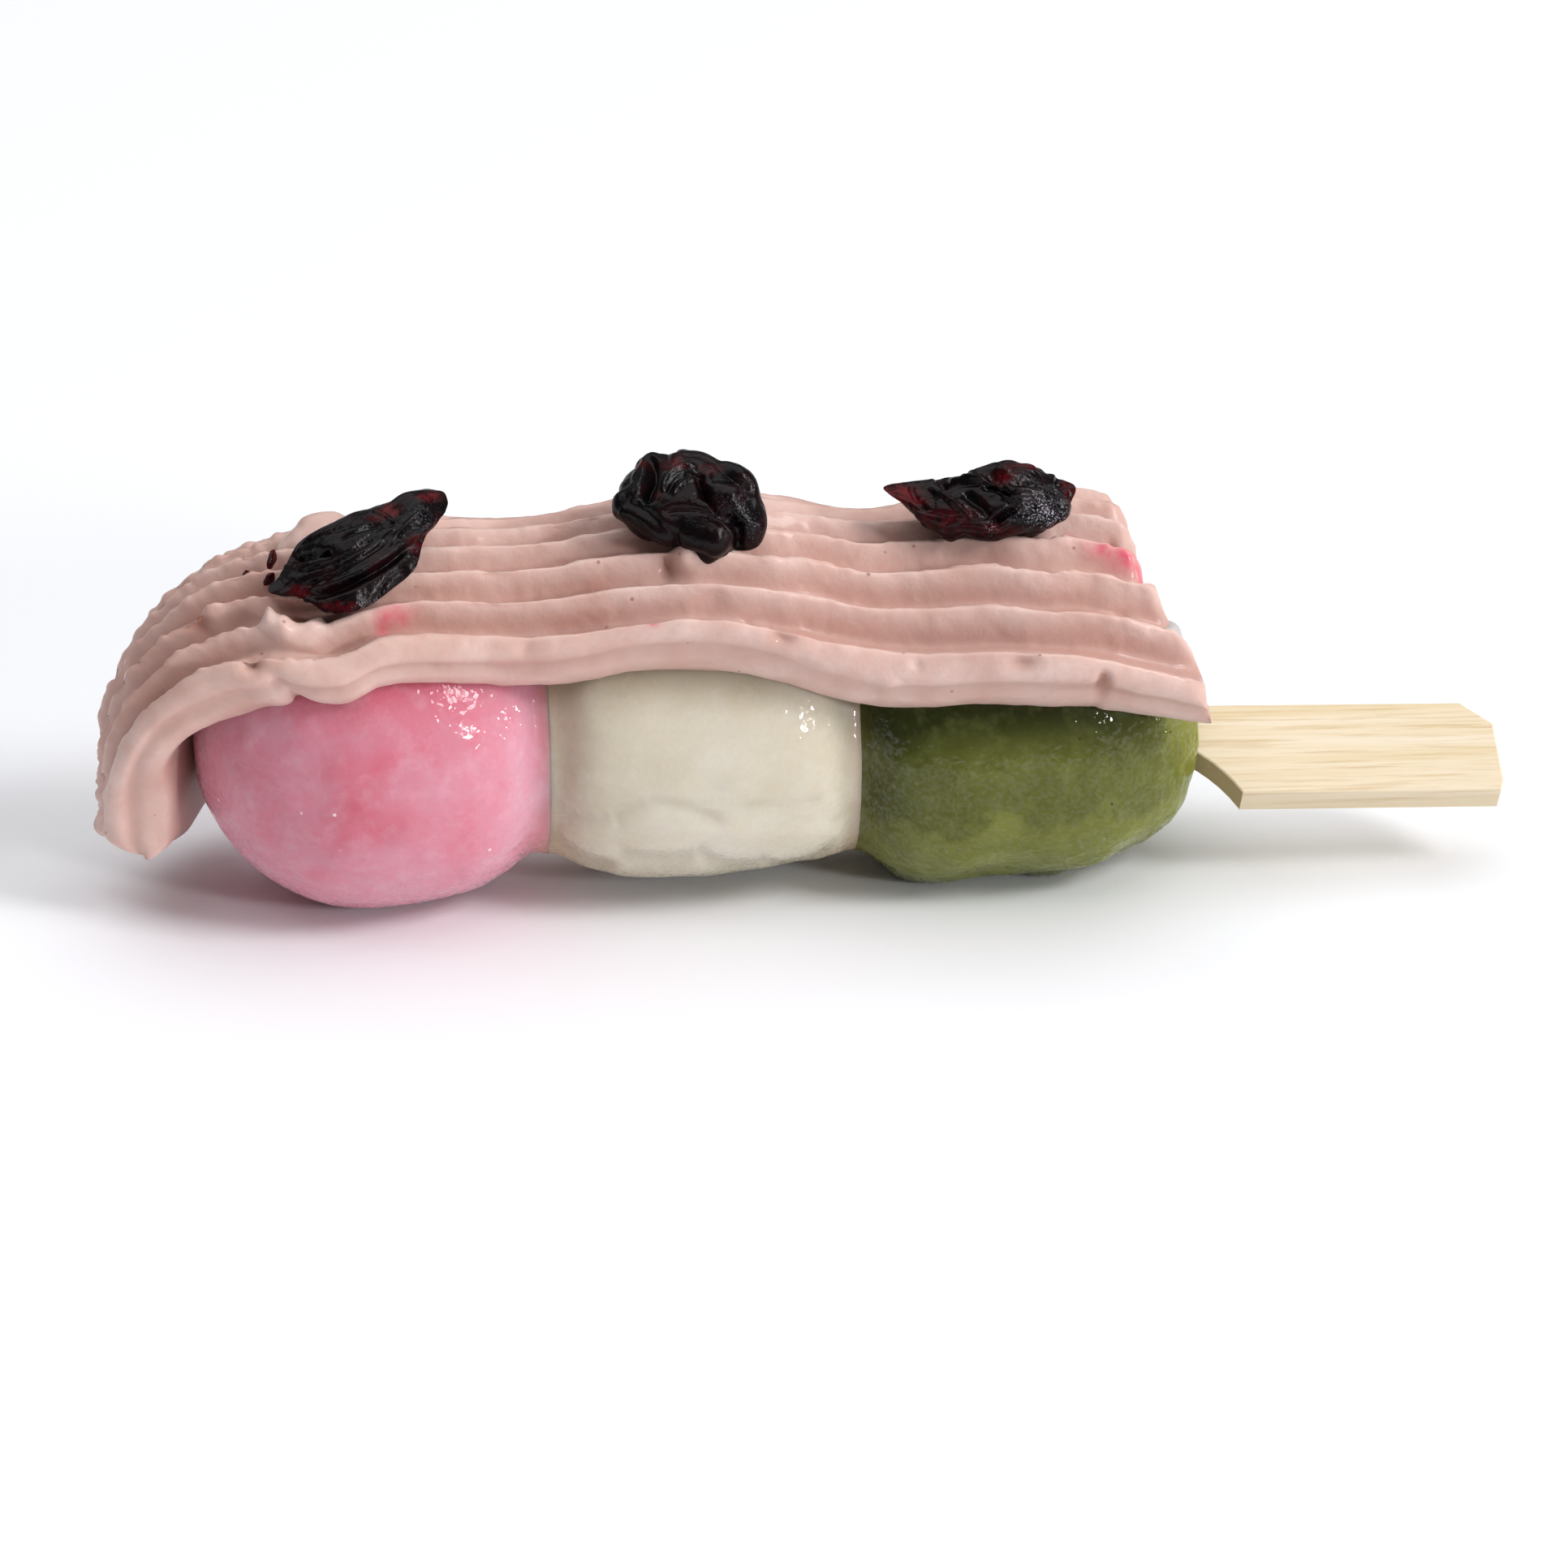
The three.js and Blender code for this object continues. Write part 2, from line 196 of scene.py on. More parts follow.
def paint(hexColour):  # sRGB hex to linear
    channels = np.array([int(hexColour[i:i + 2], 16) for i in (1, 3, 5)]) / 255
    linear = np.where(channels < 0.04045, channels / 12.92, ((channels + 0.055) / 1.055) ** 2.4)
    return (*linear.tolist(), 1.0)


# Adds a node, sets it and links it, and gives its chosen output: inputs holds its sockets' values or the
# outputs that feed them, and the rest are its settings.
def addNode(tree, kind, inputs, output=0, **settings):
    node = tree.nodes.new("ShaderNode" + kind)
    for name, value in settings.items():
        setattr(node, name, value)
    for name, value in inputs.items():
        if isinstance(value, bpy.types.NodeSocket):
            tree.links.new(value, node.inputs[name])
        else:
            node.inputs[name].default_value = value
    return node.outputs[output] if node.outputs else None


def newMaterial(name):
    material = bpy.data.materials.new(name)
    material.use_nodes = True
    tree = material.node_tree
    tree.nodes.clear()
    return material, tree


# Cloudy patches "size" mm across: noise, drawn out from least at low to most at high.
def cloudsOf(tree, place, size, low, high, detail=3.0, least=0.0, most=1.0):
    noise = addNode(tree, "TexNoise", {"Vector": place, "Scale": 1 / (size * mm), "Detail": detail,
                                       "Roughness": 0.6})
    return addNode(tree, "MapRange", {"Value": noise, "From Min": low, "From Max": high,
                                      "To Min": least, "To Max": most})


# Grains: the middles of random cells "spacing" mm apart, in the share of cells that chance picks.
def grainsOf(tree, place, spacing, radius, share, most=1.0):
    distance = addNode(tree, "TexVoronoi", {"Vector": place, "Scale": 1 / (spacing * mm)})
    near = addNode(tree, "MapRange", {"Value": distance, "From Min": radius / spacing,
                                      "From Max": radius / spacing * 0.6, "To Max": most})
    chance = addNode(tree, "SeparateColor", {"Color": distance.node.outputs["Color"]})
    picked = addNode(tree, "Math", {0: chance, 1: share}, operation="LESS_THAN")
    return addNode(tree, "Math", {0: near, 1: picked}, operation="MULTIPLY")


# Colours over a base colour: each layer is a share and the name of its colour in the look.
def layersOf(tree, look, base, layers):
    tone = paint(look[base])
    for share, colour in layers:
        tone = addNode(tree, "Mix", {0: share, 6: tone, 7: paint(look[colour])}, 2, data_type="RGBA")
    return tone


# Whipped bean cream: dense and soft, a satin skin left by the nozzle, with fine grains of bean husk.
# The eye sees a dusty rose and a few berry stains; painted shade makes it darker and warmer in the
# grooves, in the pits and on the underside, so the crests look paler.
def whippedBeanCream():
    look = dict(pale="#dfc1b8", rosy="#cfa79b", groove="#b5867a", husk="#98695d", pit="#a8705f",
                stain="#dc5a70", grooveShadeShare=0.7, fleckShare=0.35, huskShare=0.75)
    material, tree = newMaterial("whippedBeanCream")
    place = addNode(tree, "TexCoord", {}, "Object")
    groove, pit, stain = (addNode(tree, "Attribute", {}, "Fac", attribute_name=name)
                          for name in ("groove", "pit", "stain"))
    # painted shade: the groove and pit colours below darken the grooves, the front wall's dip, the underside
    # and the pits
    depth = addNode(tree, "Math", {0: groove, 1: look["grooveShadeShare"]}, operation="MULTIPLY")
    flecks = cloudsOf(tree, place, 0.7, 0.45, 0.75, most=look["fleckShare"])
    husks = grainsOf(tree, place, 2.4, 0.22, 0.22, look["huskShare"])
    smear = addNode(tree, "Math", {0: stain, 1: cloudsOf(tree, place, 1.2, 0.1, 0.6)}, operation="MULTIPLY",
                    use_clamp=True)
    tone = layersOf(tree, look, "pale", (
        (cloudsOf(tree, place, 7, 0.35, 0.65), "rosy"), (depth, "groove"), (flecks, "rosy"),
        (husks, "husk"), (pit, "pit"), (smear, "stain")))
    grain = addNode(tree, "TexNoise", {"Vector": place, "Scale": 1 / (0.45 * mm), "Detail": 3.0})
    bump = addNode(tree, "Bump", {"Height": grain, "Strength": 0.35, "Distance": 0.12 * mm})
    shader = addNode(tree, "BsdfPrincipled", {
        "Base Color": tone, "Roughness": 0.5, "IOR": 1.45, "Normal": bump,
        "Subsurface Weight": 0.25, "Subsurface Radius": (1.0, 0.4, 0.3), "Subsurface Scale": 0.7 * mm,
        "Coat Weight": 0.25, "Coat Roughness": 0.13})
    addNode(tree, "OutputMaterial", {"Surface": shader})
    return material


# Steamed rice dough: boiled, cooled in water and glazed with syrup, so it is wet, a little see-through
# and clouded. The syrup stands in beads on a dimpled film, which break each light into small glints.
def steamedRiceDough(name, look):
    material, tree = newMaterial(name)
    place = addNode(tree, "TexCoord", {}, "Object")
    tintAndShade, syrup = (addNode(tree, "Attribute", {}, "Fac", attribute_name=label)
                    for label in ("tintAndShade", "syrup"))
    veins = cloudsOf(tree, place, 2.2, 0.5, 0.72, 5.0, most=look["veinShare"])
    specks = grainsOf(tree, place, look["speckSpacing"], look["speckSize"], look["speckShare"])
    browned = addNode(tree, "Math", {0: syrup, 1: 0.8}, operation="MULTIPLY")
    # besides clouds, veins, specks and syrup, the dough is darkened by painted shade: under the cream on all
    # three, below on the white and green ones, by the joins, and in the white one's folds; on the pink also
    # by its own deeper blush
    tone = layersOf(tree, look, "deep", (
        (cloudsOf(tree, place, look["cloudSize"], 0.28, 0.72, 4.0), "pale"), (tintAndShade, "tintAndShade"),
        (veins, "vein"), (specks, "speck"), (browned, "syrup")))
    dimples = addNode(tree, "TexVoronoi", {"Vector": place, "Scale": 1 / (0.7 * mm), "Smoothness": 0.5},
                      feature="SMOOTH_F1")
    ripples = addNode(tree, "TexNoise", {"Vector": place, "Scale": 1 / (1.2 * mm), "Detail": 2.0})
    wet = addNode(tree, "Math", {0: dimples, 1: 0.45, 2: ripples}, operation="MULTIPLY_ADD")
    film = addNode(tree, "Bump", {"Height": wet, "Strength": 0.8, "Distance": 0.14 * mm})
    beads = cloudsOf(tree, place, 0.45, 0.46, 0.54, 1.0, least=0.3, most=0.9)
    skin = addNode(tree, "TexNoise", {"Vector": place, "Scale": 1 / (1.1 * mm), "Detail": 4.0,
                                      "Roughness": 0.6})
    wrinkles = addNode(tree, "Bump", {"Height": skin, "Strength": 0.12, "Distance": 0.3 * mm})
    shader = addNode(tree, "BsdfPrincipled", {
        "Base Color": tone, "Roughness": 0.55, "IOR": 1.42, "Specular IOR Level": 0.12, "Normal": wrinkles,
        "Subsurface Weight": look["soak"], "Subsurface Radius": look["reach"], "Subsurface Scale": 3 * mm,
        "Coat Weight": beads, "Coat Roughness": 0.03, "Coat IOR": 1.45, "Coat Normal": film})
    addNode(tree, "OutputMaterial", {"Surface": shader})
    return material


# Split and planed bamboo: pale straw with fibre bundles a third of a millimetre apart, each a thin
# darker line along the board; the sawn shoulder shows the bundles end on and is browner.
def planedBamboo():
    look = dict(pale="#e6d8c2", straw="#dcc9a6", fibre="#c4a677", sawn="#b8a47c", fibreShare=0.6)
    boardRoll = math.radians(-27)
    shoulderFacing = (-0.72, -0.55, -0.4)
    material, tree = newMaterial("planedBamboo")
    place = addNode(tree, "TexCoord", {}, "Object")
    level = addNode(tree, "Mapping", {"Vector": place, "Rotation": (boardRoll, 0, 0)})
    fibres = addNode(tree, "Mapping", {"Vector": level, "Scale": (0.006, 1, 1)})
    bundles = cloudsOf(tree, fibres, 0.35, 0.5, 0.7, most=look["fibreShare"])
    normal = addNode(tree, "NewGeometry", {}, "True Normal")
    slant = addNode(tree, "VectorMath", {0: normal, 1: shoulderFacing}, "Value", operation="DOT_PRODUCT")
    shoulder = addNode(tree, "MapRange", {"Value": slant, "From Min": 0.72, "From Max": 0.86})
    tone = layersOf(tree, look, "pale", (
        (cloudsOf(tree, fibres, 2.0, 0.35, 0.65), "straw"), (bundles, "fibre"), (shoulder, "sawn")))
    bump = addNode(tree, "Bump", {"Height": bundles, "Strength": 0.4, "Distance": 0.08 * mm})
    shader = addNode(tree, "BsdfPrincipled", {
        "Base Color": tone, "Roughness": 0.6, "IOR": 1.5, "Specular IOR Level": 0.3, "Normal": bump,
        "Subsurface Weight": 0.15, "Subsurface Radius": (1.0, 0.7, 0.4), "Subsurface Scale": 1 * mm})
    addNode(tree, "OutputMaterial", {"Surface": shader})
    return material


# Dried cherry: sugared and dried, nearly black where the flesh is thick and red where it is thin, that red
# brightened by a painted glow of light through the flesh, with a sticky gloss broken by fine wrinkles and,
# in places, painted glint specks.
def driedCherry():
    look = dict(dark="#050203", flesh="#1a0609", red="#5e0610", amber="#9a3d1a", glintPaint="#b4b0c0")
    material, tree = newMaterial("driedCherry")
    place = addNode(tree, "TexCoord", {}, "Object")
    thin, glintPaint = (addNode(tree, "Attribute", {}, "Fac", attribute_name=label)
                   for label in ("thin", "glintPaint"))
    mottle = cloudsOf(tree, place, 0.8, 0.28, 0.66, 5.0)
    # red where the flesh is thin: its own colour, brightened as a painted glow of light through it, and
    # amber where it glows most
    clear = addNode(tree, "Math", {0: thin, 1: mottle}, operation="MULTIPLY")
    reds = addNode(tree, "MapRange", {"Value": clear, "From Min": 0.06, "From Max": 0.8})
    ambers = addNode(tree, "MapRange", {"Value": clear, "From Min": 0.85, "From Max": 1.1})
    # painted glints: pale specks in the given places, standing in for sparkling highlights
    glintSpecks = addNode(tree, "Math", {0: glintPaint, 1: cloudsOf(tree, place, 0.2, 0.56, 0.66, 2.0)},
                    operation="MULTIPLY")
    tone = layersOf(tree, look, "dark", (
        (cloudsOf(tree, place, 2.4, 0.45, 0.7), "flesh"), (reds, "red"), (ambers, "amber"),
        (glintSpecks, "glintPaint")))
    folds = addNode(tree, "TexNoise", {"Vector": place, "Scale": 1 / (1.1 * mm), "Detail": 5.0})
    wrinkles = addNode(tree, "Bump", {"Height": folds, "Strength": 0.5, "Distance": 0.3 * mm})
    pores = addNode(tree, "TexNoise", {"Vector": place, "Scale": 1 / (0.4 * mm), "Detail": 3.0})
    sticky = addNode(tree, "Bump", {"Height": pores, "Strength": 0.7, "Distance": 0.1 * mm,
                                    "Normal": wrinkles})
    shader = addNode(tree, "BsdfPrincipled", {
        "Base Color": tone, "Roughness": 0.45, "IOR": 1.48, "Specular IOR Level": 0.04, "Normal": wrinkles,
        "Subsurface Weight": 0.2, "Subsurface Radius": (1.0, 0.1, 0.08), "Subsurface Scale": 0.8 * mm,
        "Coat Weight": 0.28, "Coat Roughness": 0.03, "Coat IOR": 1.5, "Coat Normal": sticky})
    addNode(tree, "OutputMaterial", {"Surface": shader})
    return material


# Starch jelly: a colourless, cloudy drop that lets light through.
def starchJelly():
    material, tree = newMaterial("starchJelly")
    shader = addNode(tree, "BsdfPrincipled", {
        "Base Color": paint("#e6e0e2"), "Roughness": 0.2, "IOR": 1.38, "Transmission Weight": 0.3,
        "Subsurface Weight": 0.5, "Subsurface Radius": (1.0, 0.9, 0.9), "Subsurface Scale": 1.5 * mm,
        "Coat Weight": 0.4, "Coat Roughness": 0.06})
    addNode(tree, "OutputMaterial", {"Surface": shader})
    return material


# soak is how much light goes into the dough, and reach how far its red, green and blue go
# the third colour in each look is the colour of painted shade, and on the pink also of its deeper blush
pinkLook = dict(deep="#d67f91", pale="#d6a0b0", tintAndShade="#c9586c", vein="#e3b6c2", veinShare=0.3,
                speck="#f6dfe2", cloudSize=6, speckSpacing=3.4, speckSize=0.2, speckShare=0.25,
                soak=0.85, reach=(1.0, 0.42, 0.45), syrup="#cf8f72")
whiteLook = dict(deep="#cdc4b0", pale="#d9d2c4", tintAndShade="#938462", vein="#e0dbd0", veinShare=0.25,
                 speck="#c9bda2", cloudSize=7, speckSpacing=3.2, speckSize=0.16, speckShare=0.15,
                 soak=0.85, reach=(1.0, 0.85, 0.6), syrup="#c79a72")
greenLook = dict(deep="#61641a", pale="#868a42", tintAndShade="#2a2f05", vein="#8a9150", veinShare=0.2,
                 speck="#2c330c", cloudSize=6, speckSpacing=1.5, speckSize=0.16, speckShare=0.22,
                 soak=0.6, reach=(0.8, 1.0, 0.3), syrup="#5d5520")
cream = whippedBeanCream()
cherrySkin = driedCherry()
bamboo = planedBamboo()
print("materials made")


# ---- marks, described as seen from the front and a little above: right and up in mm from a
# piece's middle

seenFrom = dict(azimuth=-6.5, elevation=24)
around, above = math.radians(seenFrom["azimuth"]), math.radians(seenFrom["elevation"])
towardsEye = np.array([math.sin(around) * math.cos(above), -math.cos(around) * math.cos(above),
                       math.sin(above)])
rightwards = np.array([math.cos(around), math.sin(around), 0])
upwards = np.cross(towardsEye, rightwards)


# A crease follows a bent line: a bell across it, fading past both ends.
def creased(right, up, line):
    startRight, startUp, endRight, endUp, bend, width, height = line
    dx, dy = endRight - startRight, endUp - startUp
    length = math.hypot(dx, dy)
    t = ((right - startRight) * dx + (up - startUp) * dy) / length ** 2
    across = ((up - startUp) * dx - (right - startRight) * dy) / length - bend * (1 - (2 * t - 1) ** 2)
    return height * bell(across, width) * smoothStep(t, -0.12, 0.12) * (1 - smoothStep(t, 0.88, 1.12))


# Patches: the sum of strength * exp(-(right / half width)^2 - (up / half height)^2).
def patched(right, up, spots):
    return sum(strength * bell(right - x, wide) * bell(up - y, high) for x, y, wide, high, strength in spots)


# ---- dumplings

# Radius at x: radius * (1 - |x - middle| / half length to the power bulge) to the power 1 / bulge.
def dumplingRadius(dumpling, x):
    offset = x - dumpling["middle"]
    half = np.where(offset < 0, dumpling["left"], dumpling["right"])
    bulge = np.where(offset < 0, dumpling["bulgeLeft"], dumpling["bulgeRight"])
    share = np.clip(np.abs(offset) / half, 0, 1)
    return dumpling["radius"] * (1 - share ** bulge) ** (1 / bulge)


# The height of the skewer's axis inside the row, and where the paddle's end has sunk lower.
def axisHeight(x):
    paddleEnd = dict(x=75, drop=1.8)
    return throughPoints(
        np.asarray(x, float), [pink["middle"], white["middle"], green["middle"], paddleEnd["x"]],
        [pink["height"], white["height"], green["height"], green["height"] - paddleEnd["drop"]])


# Where two dumplings are pressed together they share one crease: near a join both take its radius
# and the skewer's height there. It hangs deeper below, where syrup has run together.
crease = dict(radius=10.7, below=1.3, width=2.0, bend=4.5)


# A dumpling from low to high: its profile turned about its own axis. The first and last rows, endShare
# of all of them, turn straight in to the axis and close it, where a join hides them.
def dumplingGrid(dumpling, low, high, rows=210, columns=300):
    endShare = 0.06
    share = np.linspace(0, 1, rows)
    inside = np.clip((share - endShare) / (1 - 2 * endShare), 0, 1)
    x = mix(low, high, 0.5 - 0.5 * np.cos(np.pi * inside))[:, None]
    turnIn = np.minimum(smoothStep(share, 0, endShare), smoothStep(1 - share, 0, endShare))[:, None]
    angle = np.linspace(0, 2 * np.pi, columns, endpoint=False)[None, :]
    radius = dumplingRadius(dumpling, x) + 0 * angle
    height = dumpling["height"] + 0 * radius
    for join in joins.values():
        joined = crease["radius"] + crease["below"] * bell(angle - np.pi, 0.9)
        radius = mix(radius, joined, bell(x - join, crease["width"]))
        height = mix(height, axisHeight(join), bell(x - join, crease["bend"]))
    radius = radius * turnIn
    radius[0] = radius[-1] = 0
    grid = np.stack(np.broadcast_arrays(x, -radius * np.sin(angle), radius * np.cos(angle) + height), -1)
    return grid, angle, x, turnIn


# Nothing reaches below the surface: z becomes (z + sqrt(z^2 + softness^2)) / 2.
def settled(grid):
    softness = 0.35  # mm: how gently the skin bends into the flat spot
    z = grid[..., 2]
    grid[..., 2] = np.maximum((z + np.sqrt(z * z + softness ** 2)) / 2, 0.02)
    return grid


# Syrup runs together in the seam of a join, most of it below, and shows again at the top.
# Each is strength, width along the row in mm and, where it isn't all round, spread in radians.
glaze = dict(seam=(0.25, 1.0), below=(0.8, 2.4, 0.8), top=(0.6, 1.0, 1.1))


# The grid pushed along its normals by what shapeIt gives, which fades out in the seams.
def makeDumpling(dumpling, name, low, high, material, shapeIt):
    grid, angle, x, turnIn = dumplingGrid(dumpling, low, high)
    normals = gridNormals(grid, True)
    outward = normals * np.sign((normals * (grid - grid.mean((0, 1)))).sum(-1, keepdims=True).mean())
    push, tintAndShade = shapeIt(grid, outward, angle, x)
    syrup = 0 * push
    for join in joins.values():
        push = push * (1 - 0.8 * bell(x - join, 1.2))
        (seam, seamWidth), (below, lowWidth, lowSpread), (top, topWidth, topSpread) = glaze.values()
        under = bell(angle - np.pi, lowSpread)
        over = bell(angle, topSpread) + bell(angle - 2 * np.pi, topSpread)
        syrup += (seam * bell(x - join, seamWidth) + below * bell(x - join, lowWidth) * under
                  + top * bell(x - join, topWidth) * over)
    grid = settled(grid + outward * (push * turnIn)[..., None])
    makeSkin(name, grid, material, dumpling["node"], {"tintAndShade": tintAndShade, "syrup": np.clip(syrup, 0, 1)})


# Pink: nearly smooth, ruffled low on its right, with a deeper blush in the middle of its front, and painted
# shade along its top under the cream.
pinkShape = dict(lumps=[(0.28, 9, 1), (0.1, 3, 2), (0.03, 1.1, 3)], ruffle=0.25, ruffleSize=2.2,
                 blush=0.62, blushAt=(-2.5, -14, -1), blushSize=(7, 9, 5.5), topShade=0.85)


def shapePink(grid, normals, angle, x):
    shape = pinkShape
    push = lumpy(grid, shape["lumps"])
    low = smoothStep(-normals[..., 2], 0.1, 0.8)
    rightBelow = low * smoothStep(x + 0 * angle, pink["middle"] + 4, pink["middle"] + 12)
    push += shape["ruffle"] * rightBelow * np.abs(lumps(grid, shape["ruffleSize"], 4))
    fromBlush = grid - np.array([pink["middle"], 0, pink["height"]]) - np.array(shape["blushAt"])
    tintAndShade = shape["blush"] * np.exp(-(fromBlush ** 2 / np.array(shape["blushSize"]) ** 2).sum(-1))
    tintAndShade = tintAndShade * (0.75 + 0.5 * lumps(grid, 3.2, 5))
    # painted shade: darker along the top, under the cream
    tintAndShade += shape["topShade"] * smoothStep(grid[..., 2], pink["height"] + 5.5, pink["height"] + 11)
    return push, np.clip(tintAndShade, 0, 1)


# Folds across the white one's lower front, with soft lobes hanging below them: as the creases above.
whiteFolds = [
    (-7.2, -9.1, -4.6, -7.7, 0.2, 0.8, -0.16), (-4.8, -7.6, 2.4, -9.1, 0.35, 0.6, -0.22),
    (-13.2, -10.2, -7.2, -13.2, -0.6, 0.8, -0.5), (-6.9, -11.7, 0.2, -12.0, -0.6, 0.75, -0.42),
    (0.4, -11.8, 6.4, -12.9, -0.9, 0.75, -0.45), (6.4, -12.9, 12.6, -11.6, -0.9, 0.75, -0.45),
    (4.5, -7.9, 11.5, -7.2, -0.4, 0.6, -0.1), (-12.5, -7.5, -8.0, -9.2, -0.3, 0.7, -0.12)]


# White: smooth above, with fine wrinkles, folds and lobes below, and painted shade at its top under the
# cream, at both ends by the joins, at the bottom and in its folds.
whiteShape = dict(lumps=[(0.25, 8, 11), (0.08, 3, 12)], lobes=0.35, backLobes=0.5, wrinkles=0.07,
                  shadeUnderCream=0.65, shadeAtLeftJoin=0.25, shadeAtRightJoin=0.3, shadeUnderneath=0.6, shadeInFolds=0.4)


def shapeWhite(grid, normals, angle, x):
    shape = whiteShape
    push = lumpy(grid, shape["lumps"])
    offset = grid - np.array([white["middle"], 0, white["height"]])
    right, up = offset @ rightwards, offset @ upwards
    facing = smoothStep(normals @ towardsEye, -0.2, 0.3)
    folds = facing * sum(creased(right, up, line) for line in whiteFolds)
    push += folds
    push += shape["lobes"] * smoothStep(-up, 8.5, 10.5) * facing
    push += shape["backLobes"] * (1 - facing) * np.abs(lumps(grid, 5.6, 14))
    lengthwise, finer = np.array([0.25, 1, 1]), np.array([0.2, 1, 1])
    wrinkles = lumps(grid * lengthwise, 0.75, 15) + 0.6 * lumps(grid * finer, 0.4, 16)
    push += shape["wrinkles"] * wrinkles * bell(up + 8.5, 2.2)
    # painted shade: darker at the top under the cream, at both ends by the joins, at the bottom and in the
    # folds
    tintAndShade = shape["shadeUnderCream"] * smoothStep(grid[..., 2], white["height"] + 5, white["height"] + 11)
    tintAndShade = tintAndShade + shape["shadeAtLeftJoin"] * smoothStep(-x, 8, 14) + shape["shadeAtRightJoin"] * smoothStep(x, 8, 14)
    tintAndShade += shape["shadeUnderneath"] * (1 - smoothStep(grid[..., 2], 1.0, 8.5)) - shape["shadeInFolds"] * folds
    return push, np.clip(tintAndShade, 0, 1)


# Green: a deep lobe under its left half, a flatter right half, and a dry wrinkled right end. It is
# darker above a wavy line, and painted shade darkens it near the cream, below and at its left.
greenShape = dict(lumps=[(0.3, 8, 21), (0.1, 3, 22), (0.03, 1.1, 23)], lowLumps=0.35, endWrinkles=0.2,
                  under=[(-11, 5, 0.5), (-4, 4, -0.7), (6, 5, -0.3)],  # place, width, height
                  dark=0.1, darkAbove=0.32, shadedTop=0.6, shadedBelow=0.3, shadedLeft=0.25)


def shapeGreen(grid, normals, angle, x):
    shape = greenShape
    push = lumpy(grid, shape["lumps"])
    low = smoothStep(-normals[..., 2], 0.2, 0.9)
    offset = x - green["middle"] + 0 * angle
    push += low * sum(height * bell(offset - place, width) for place, width, height in shape["under"])
    push += shape["lowLumps"] * low * lumps(grid, 4, 24)
    rightEnd = smoothStep(offset, 9, 14)
    push += shape["endWrinkles"] * rightEnd * (np.abs(lumps(grid * np.array([1, 1, 0.3]), 1.1, 25)) - 0.4)
    wavy = grid[..., 2] + lumpy(grid, [(1.8, 4.5, 26), (1.0, 1.4, 27)]) - green["height"]
    tintAndShade = shape["dark"] + shape["darkAbove"] * smoothStep(wavy, -4.6, -3.0)
    # painted shade: darker near the cream, at the bottom and at the left end
    tintAndShade += shape["shadedTop"] * smoothStep(grid[..., 2], green["height"] + 1.5, green["height"] + 8)
    tintAndShade += shape["shadedBelow"] * (1 - smoothStep(grid[..., 2], 1.0, 5.0))
    tintAndShade += shape["shadedLeft"] * smoothStep(-offset, 7, 14)
    return push, np.clip(tintAndShade * (1 - 0.9 * rightEnd), 0, 1)


pinkLeft, greenRight = pink["middle"] - pink["left"], green["middle"] + green["right"]
makeDumpling(pink, "pinkDumpling", pinkLeft, joins["pinkWhite"],
             steamedRiceDough("pinkRiceDough", pinkLook), shapePink)
makeDumpling(white, "whiteDumpling", joins["pinkWhite"], joins["whiteGreen"],
             steamedRiceDough("plainRiceDough", whiteLook), shapeWhite)
makeDumpling(green, "greenDumpling", joins["whiteGreen"], greenRight,
             steamedRiceDough("greenTeaRiceDough", greenLook), shapeGreen)


# ---- cream ribbon

ribbon = dict(
    bendRadius=16.3, startFront=-34.0, startBack=-35.6, endFront=75.2, endBack=70.6,  # distances along it
    ridges=7, ridgeDepth=2.3, ridgeSharpness=1.0, ridgeLean=1.4, backEdge=9,
    lip=0.6, tuck=2, flare=16, bridge=13, endRounding=2.0, tipLength=0.5, backThinning=4.5,
    wallDip=1.5, dipAt=0.62, dipWidth=0.2,  # the faint groove along the front wall, degrees and radians
    lipWave=0.7, waveLength=6.0, ridgeWander=0.1,
    drips=[(-12.8, 1.6, 1.7), (-10.4, 0.9, -2.4)],  # along, width, degrees lower
    breaks=[(-8, 31, 3.2, 1.2), (29, 21, 2.2, 1.2)],  # ridges run together: along, angle, size, stretch
    lumps=[(0.22, 8, 51), (0.09, 2.6, 52), (0.04, 0.9, 53)], crestLumps=[(0.24, 1.5, 54), (0.14, 0.7, 55)],
    rows=600, rimRows=12, wallColumns=20, ridgeColumns=16, backColumns=10, underColumns=28)
bendLength = ribbon["bendRadius"] * math.pi / 2
# along, crest radius, first ridge's angle, angle between ridges, front edge's angle
stations = np.array([
    (-38, 25.2, 8, 8, 18), (-26, 25.2, 16, 7.5, 21), (-14, 22.3, 31, 9.5, 42), (-5, 19.8, 45, 11.5, 55),
    (2, 20.1, 41, 10.5, 51), (14, 19.4, 42.5, 11.5, 51), (30, 21.6, 42, 10.3, 49), (46, 20.2, 48, 12.3, 60),
    (62, 22.7, 50, 11.2, 59), (76, 20.9, 56, 11.5, 66)], float)


# Over the row, round the bend and down: the section's middle and its outward direction.
def ribbonSpine(along):
    turned = np.clip(-along / ribbon["bendRadius"], 0, math.pi / 2)
    x = pink["middle"] + np.maximum(0, along)
    z = axisHeight(x) - np.maximum(0, -along - bendLength)
    middle = np.stack([x, np.zeros_like(x), z], -1)
    outward = np.stack([-np.sin(turned), np.zeros_like(x), np.cos(turned)], -1)
    return middle, outward


# A place at a distance along the ribbon, an angle from its top towards the front, and a radius.
def onRibbon(along, degrees, radius):
    along, degrees, radius = np.broadcast_arrays(np.asarray(along, float), degrees, radius)
    middle, outward = ribbonSpine(along)
    angle = np.radians(degrees)[..., None]
    return middle + radius[..., None] * (np.cos(angle) * outward + np.sin(angle) * np.array([0, -1, 0]))


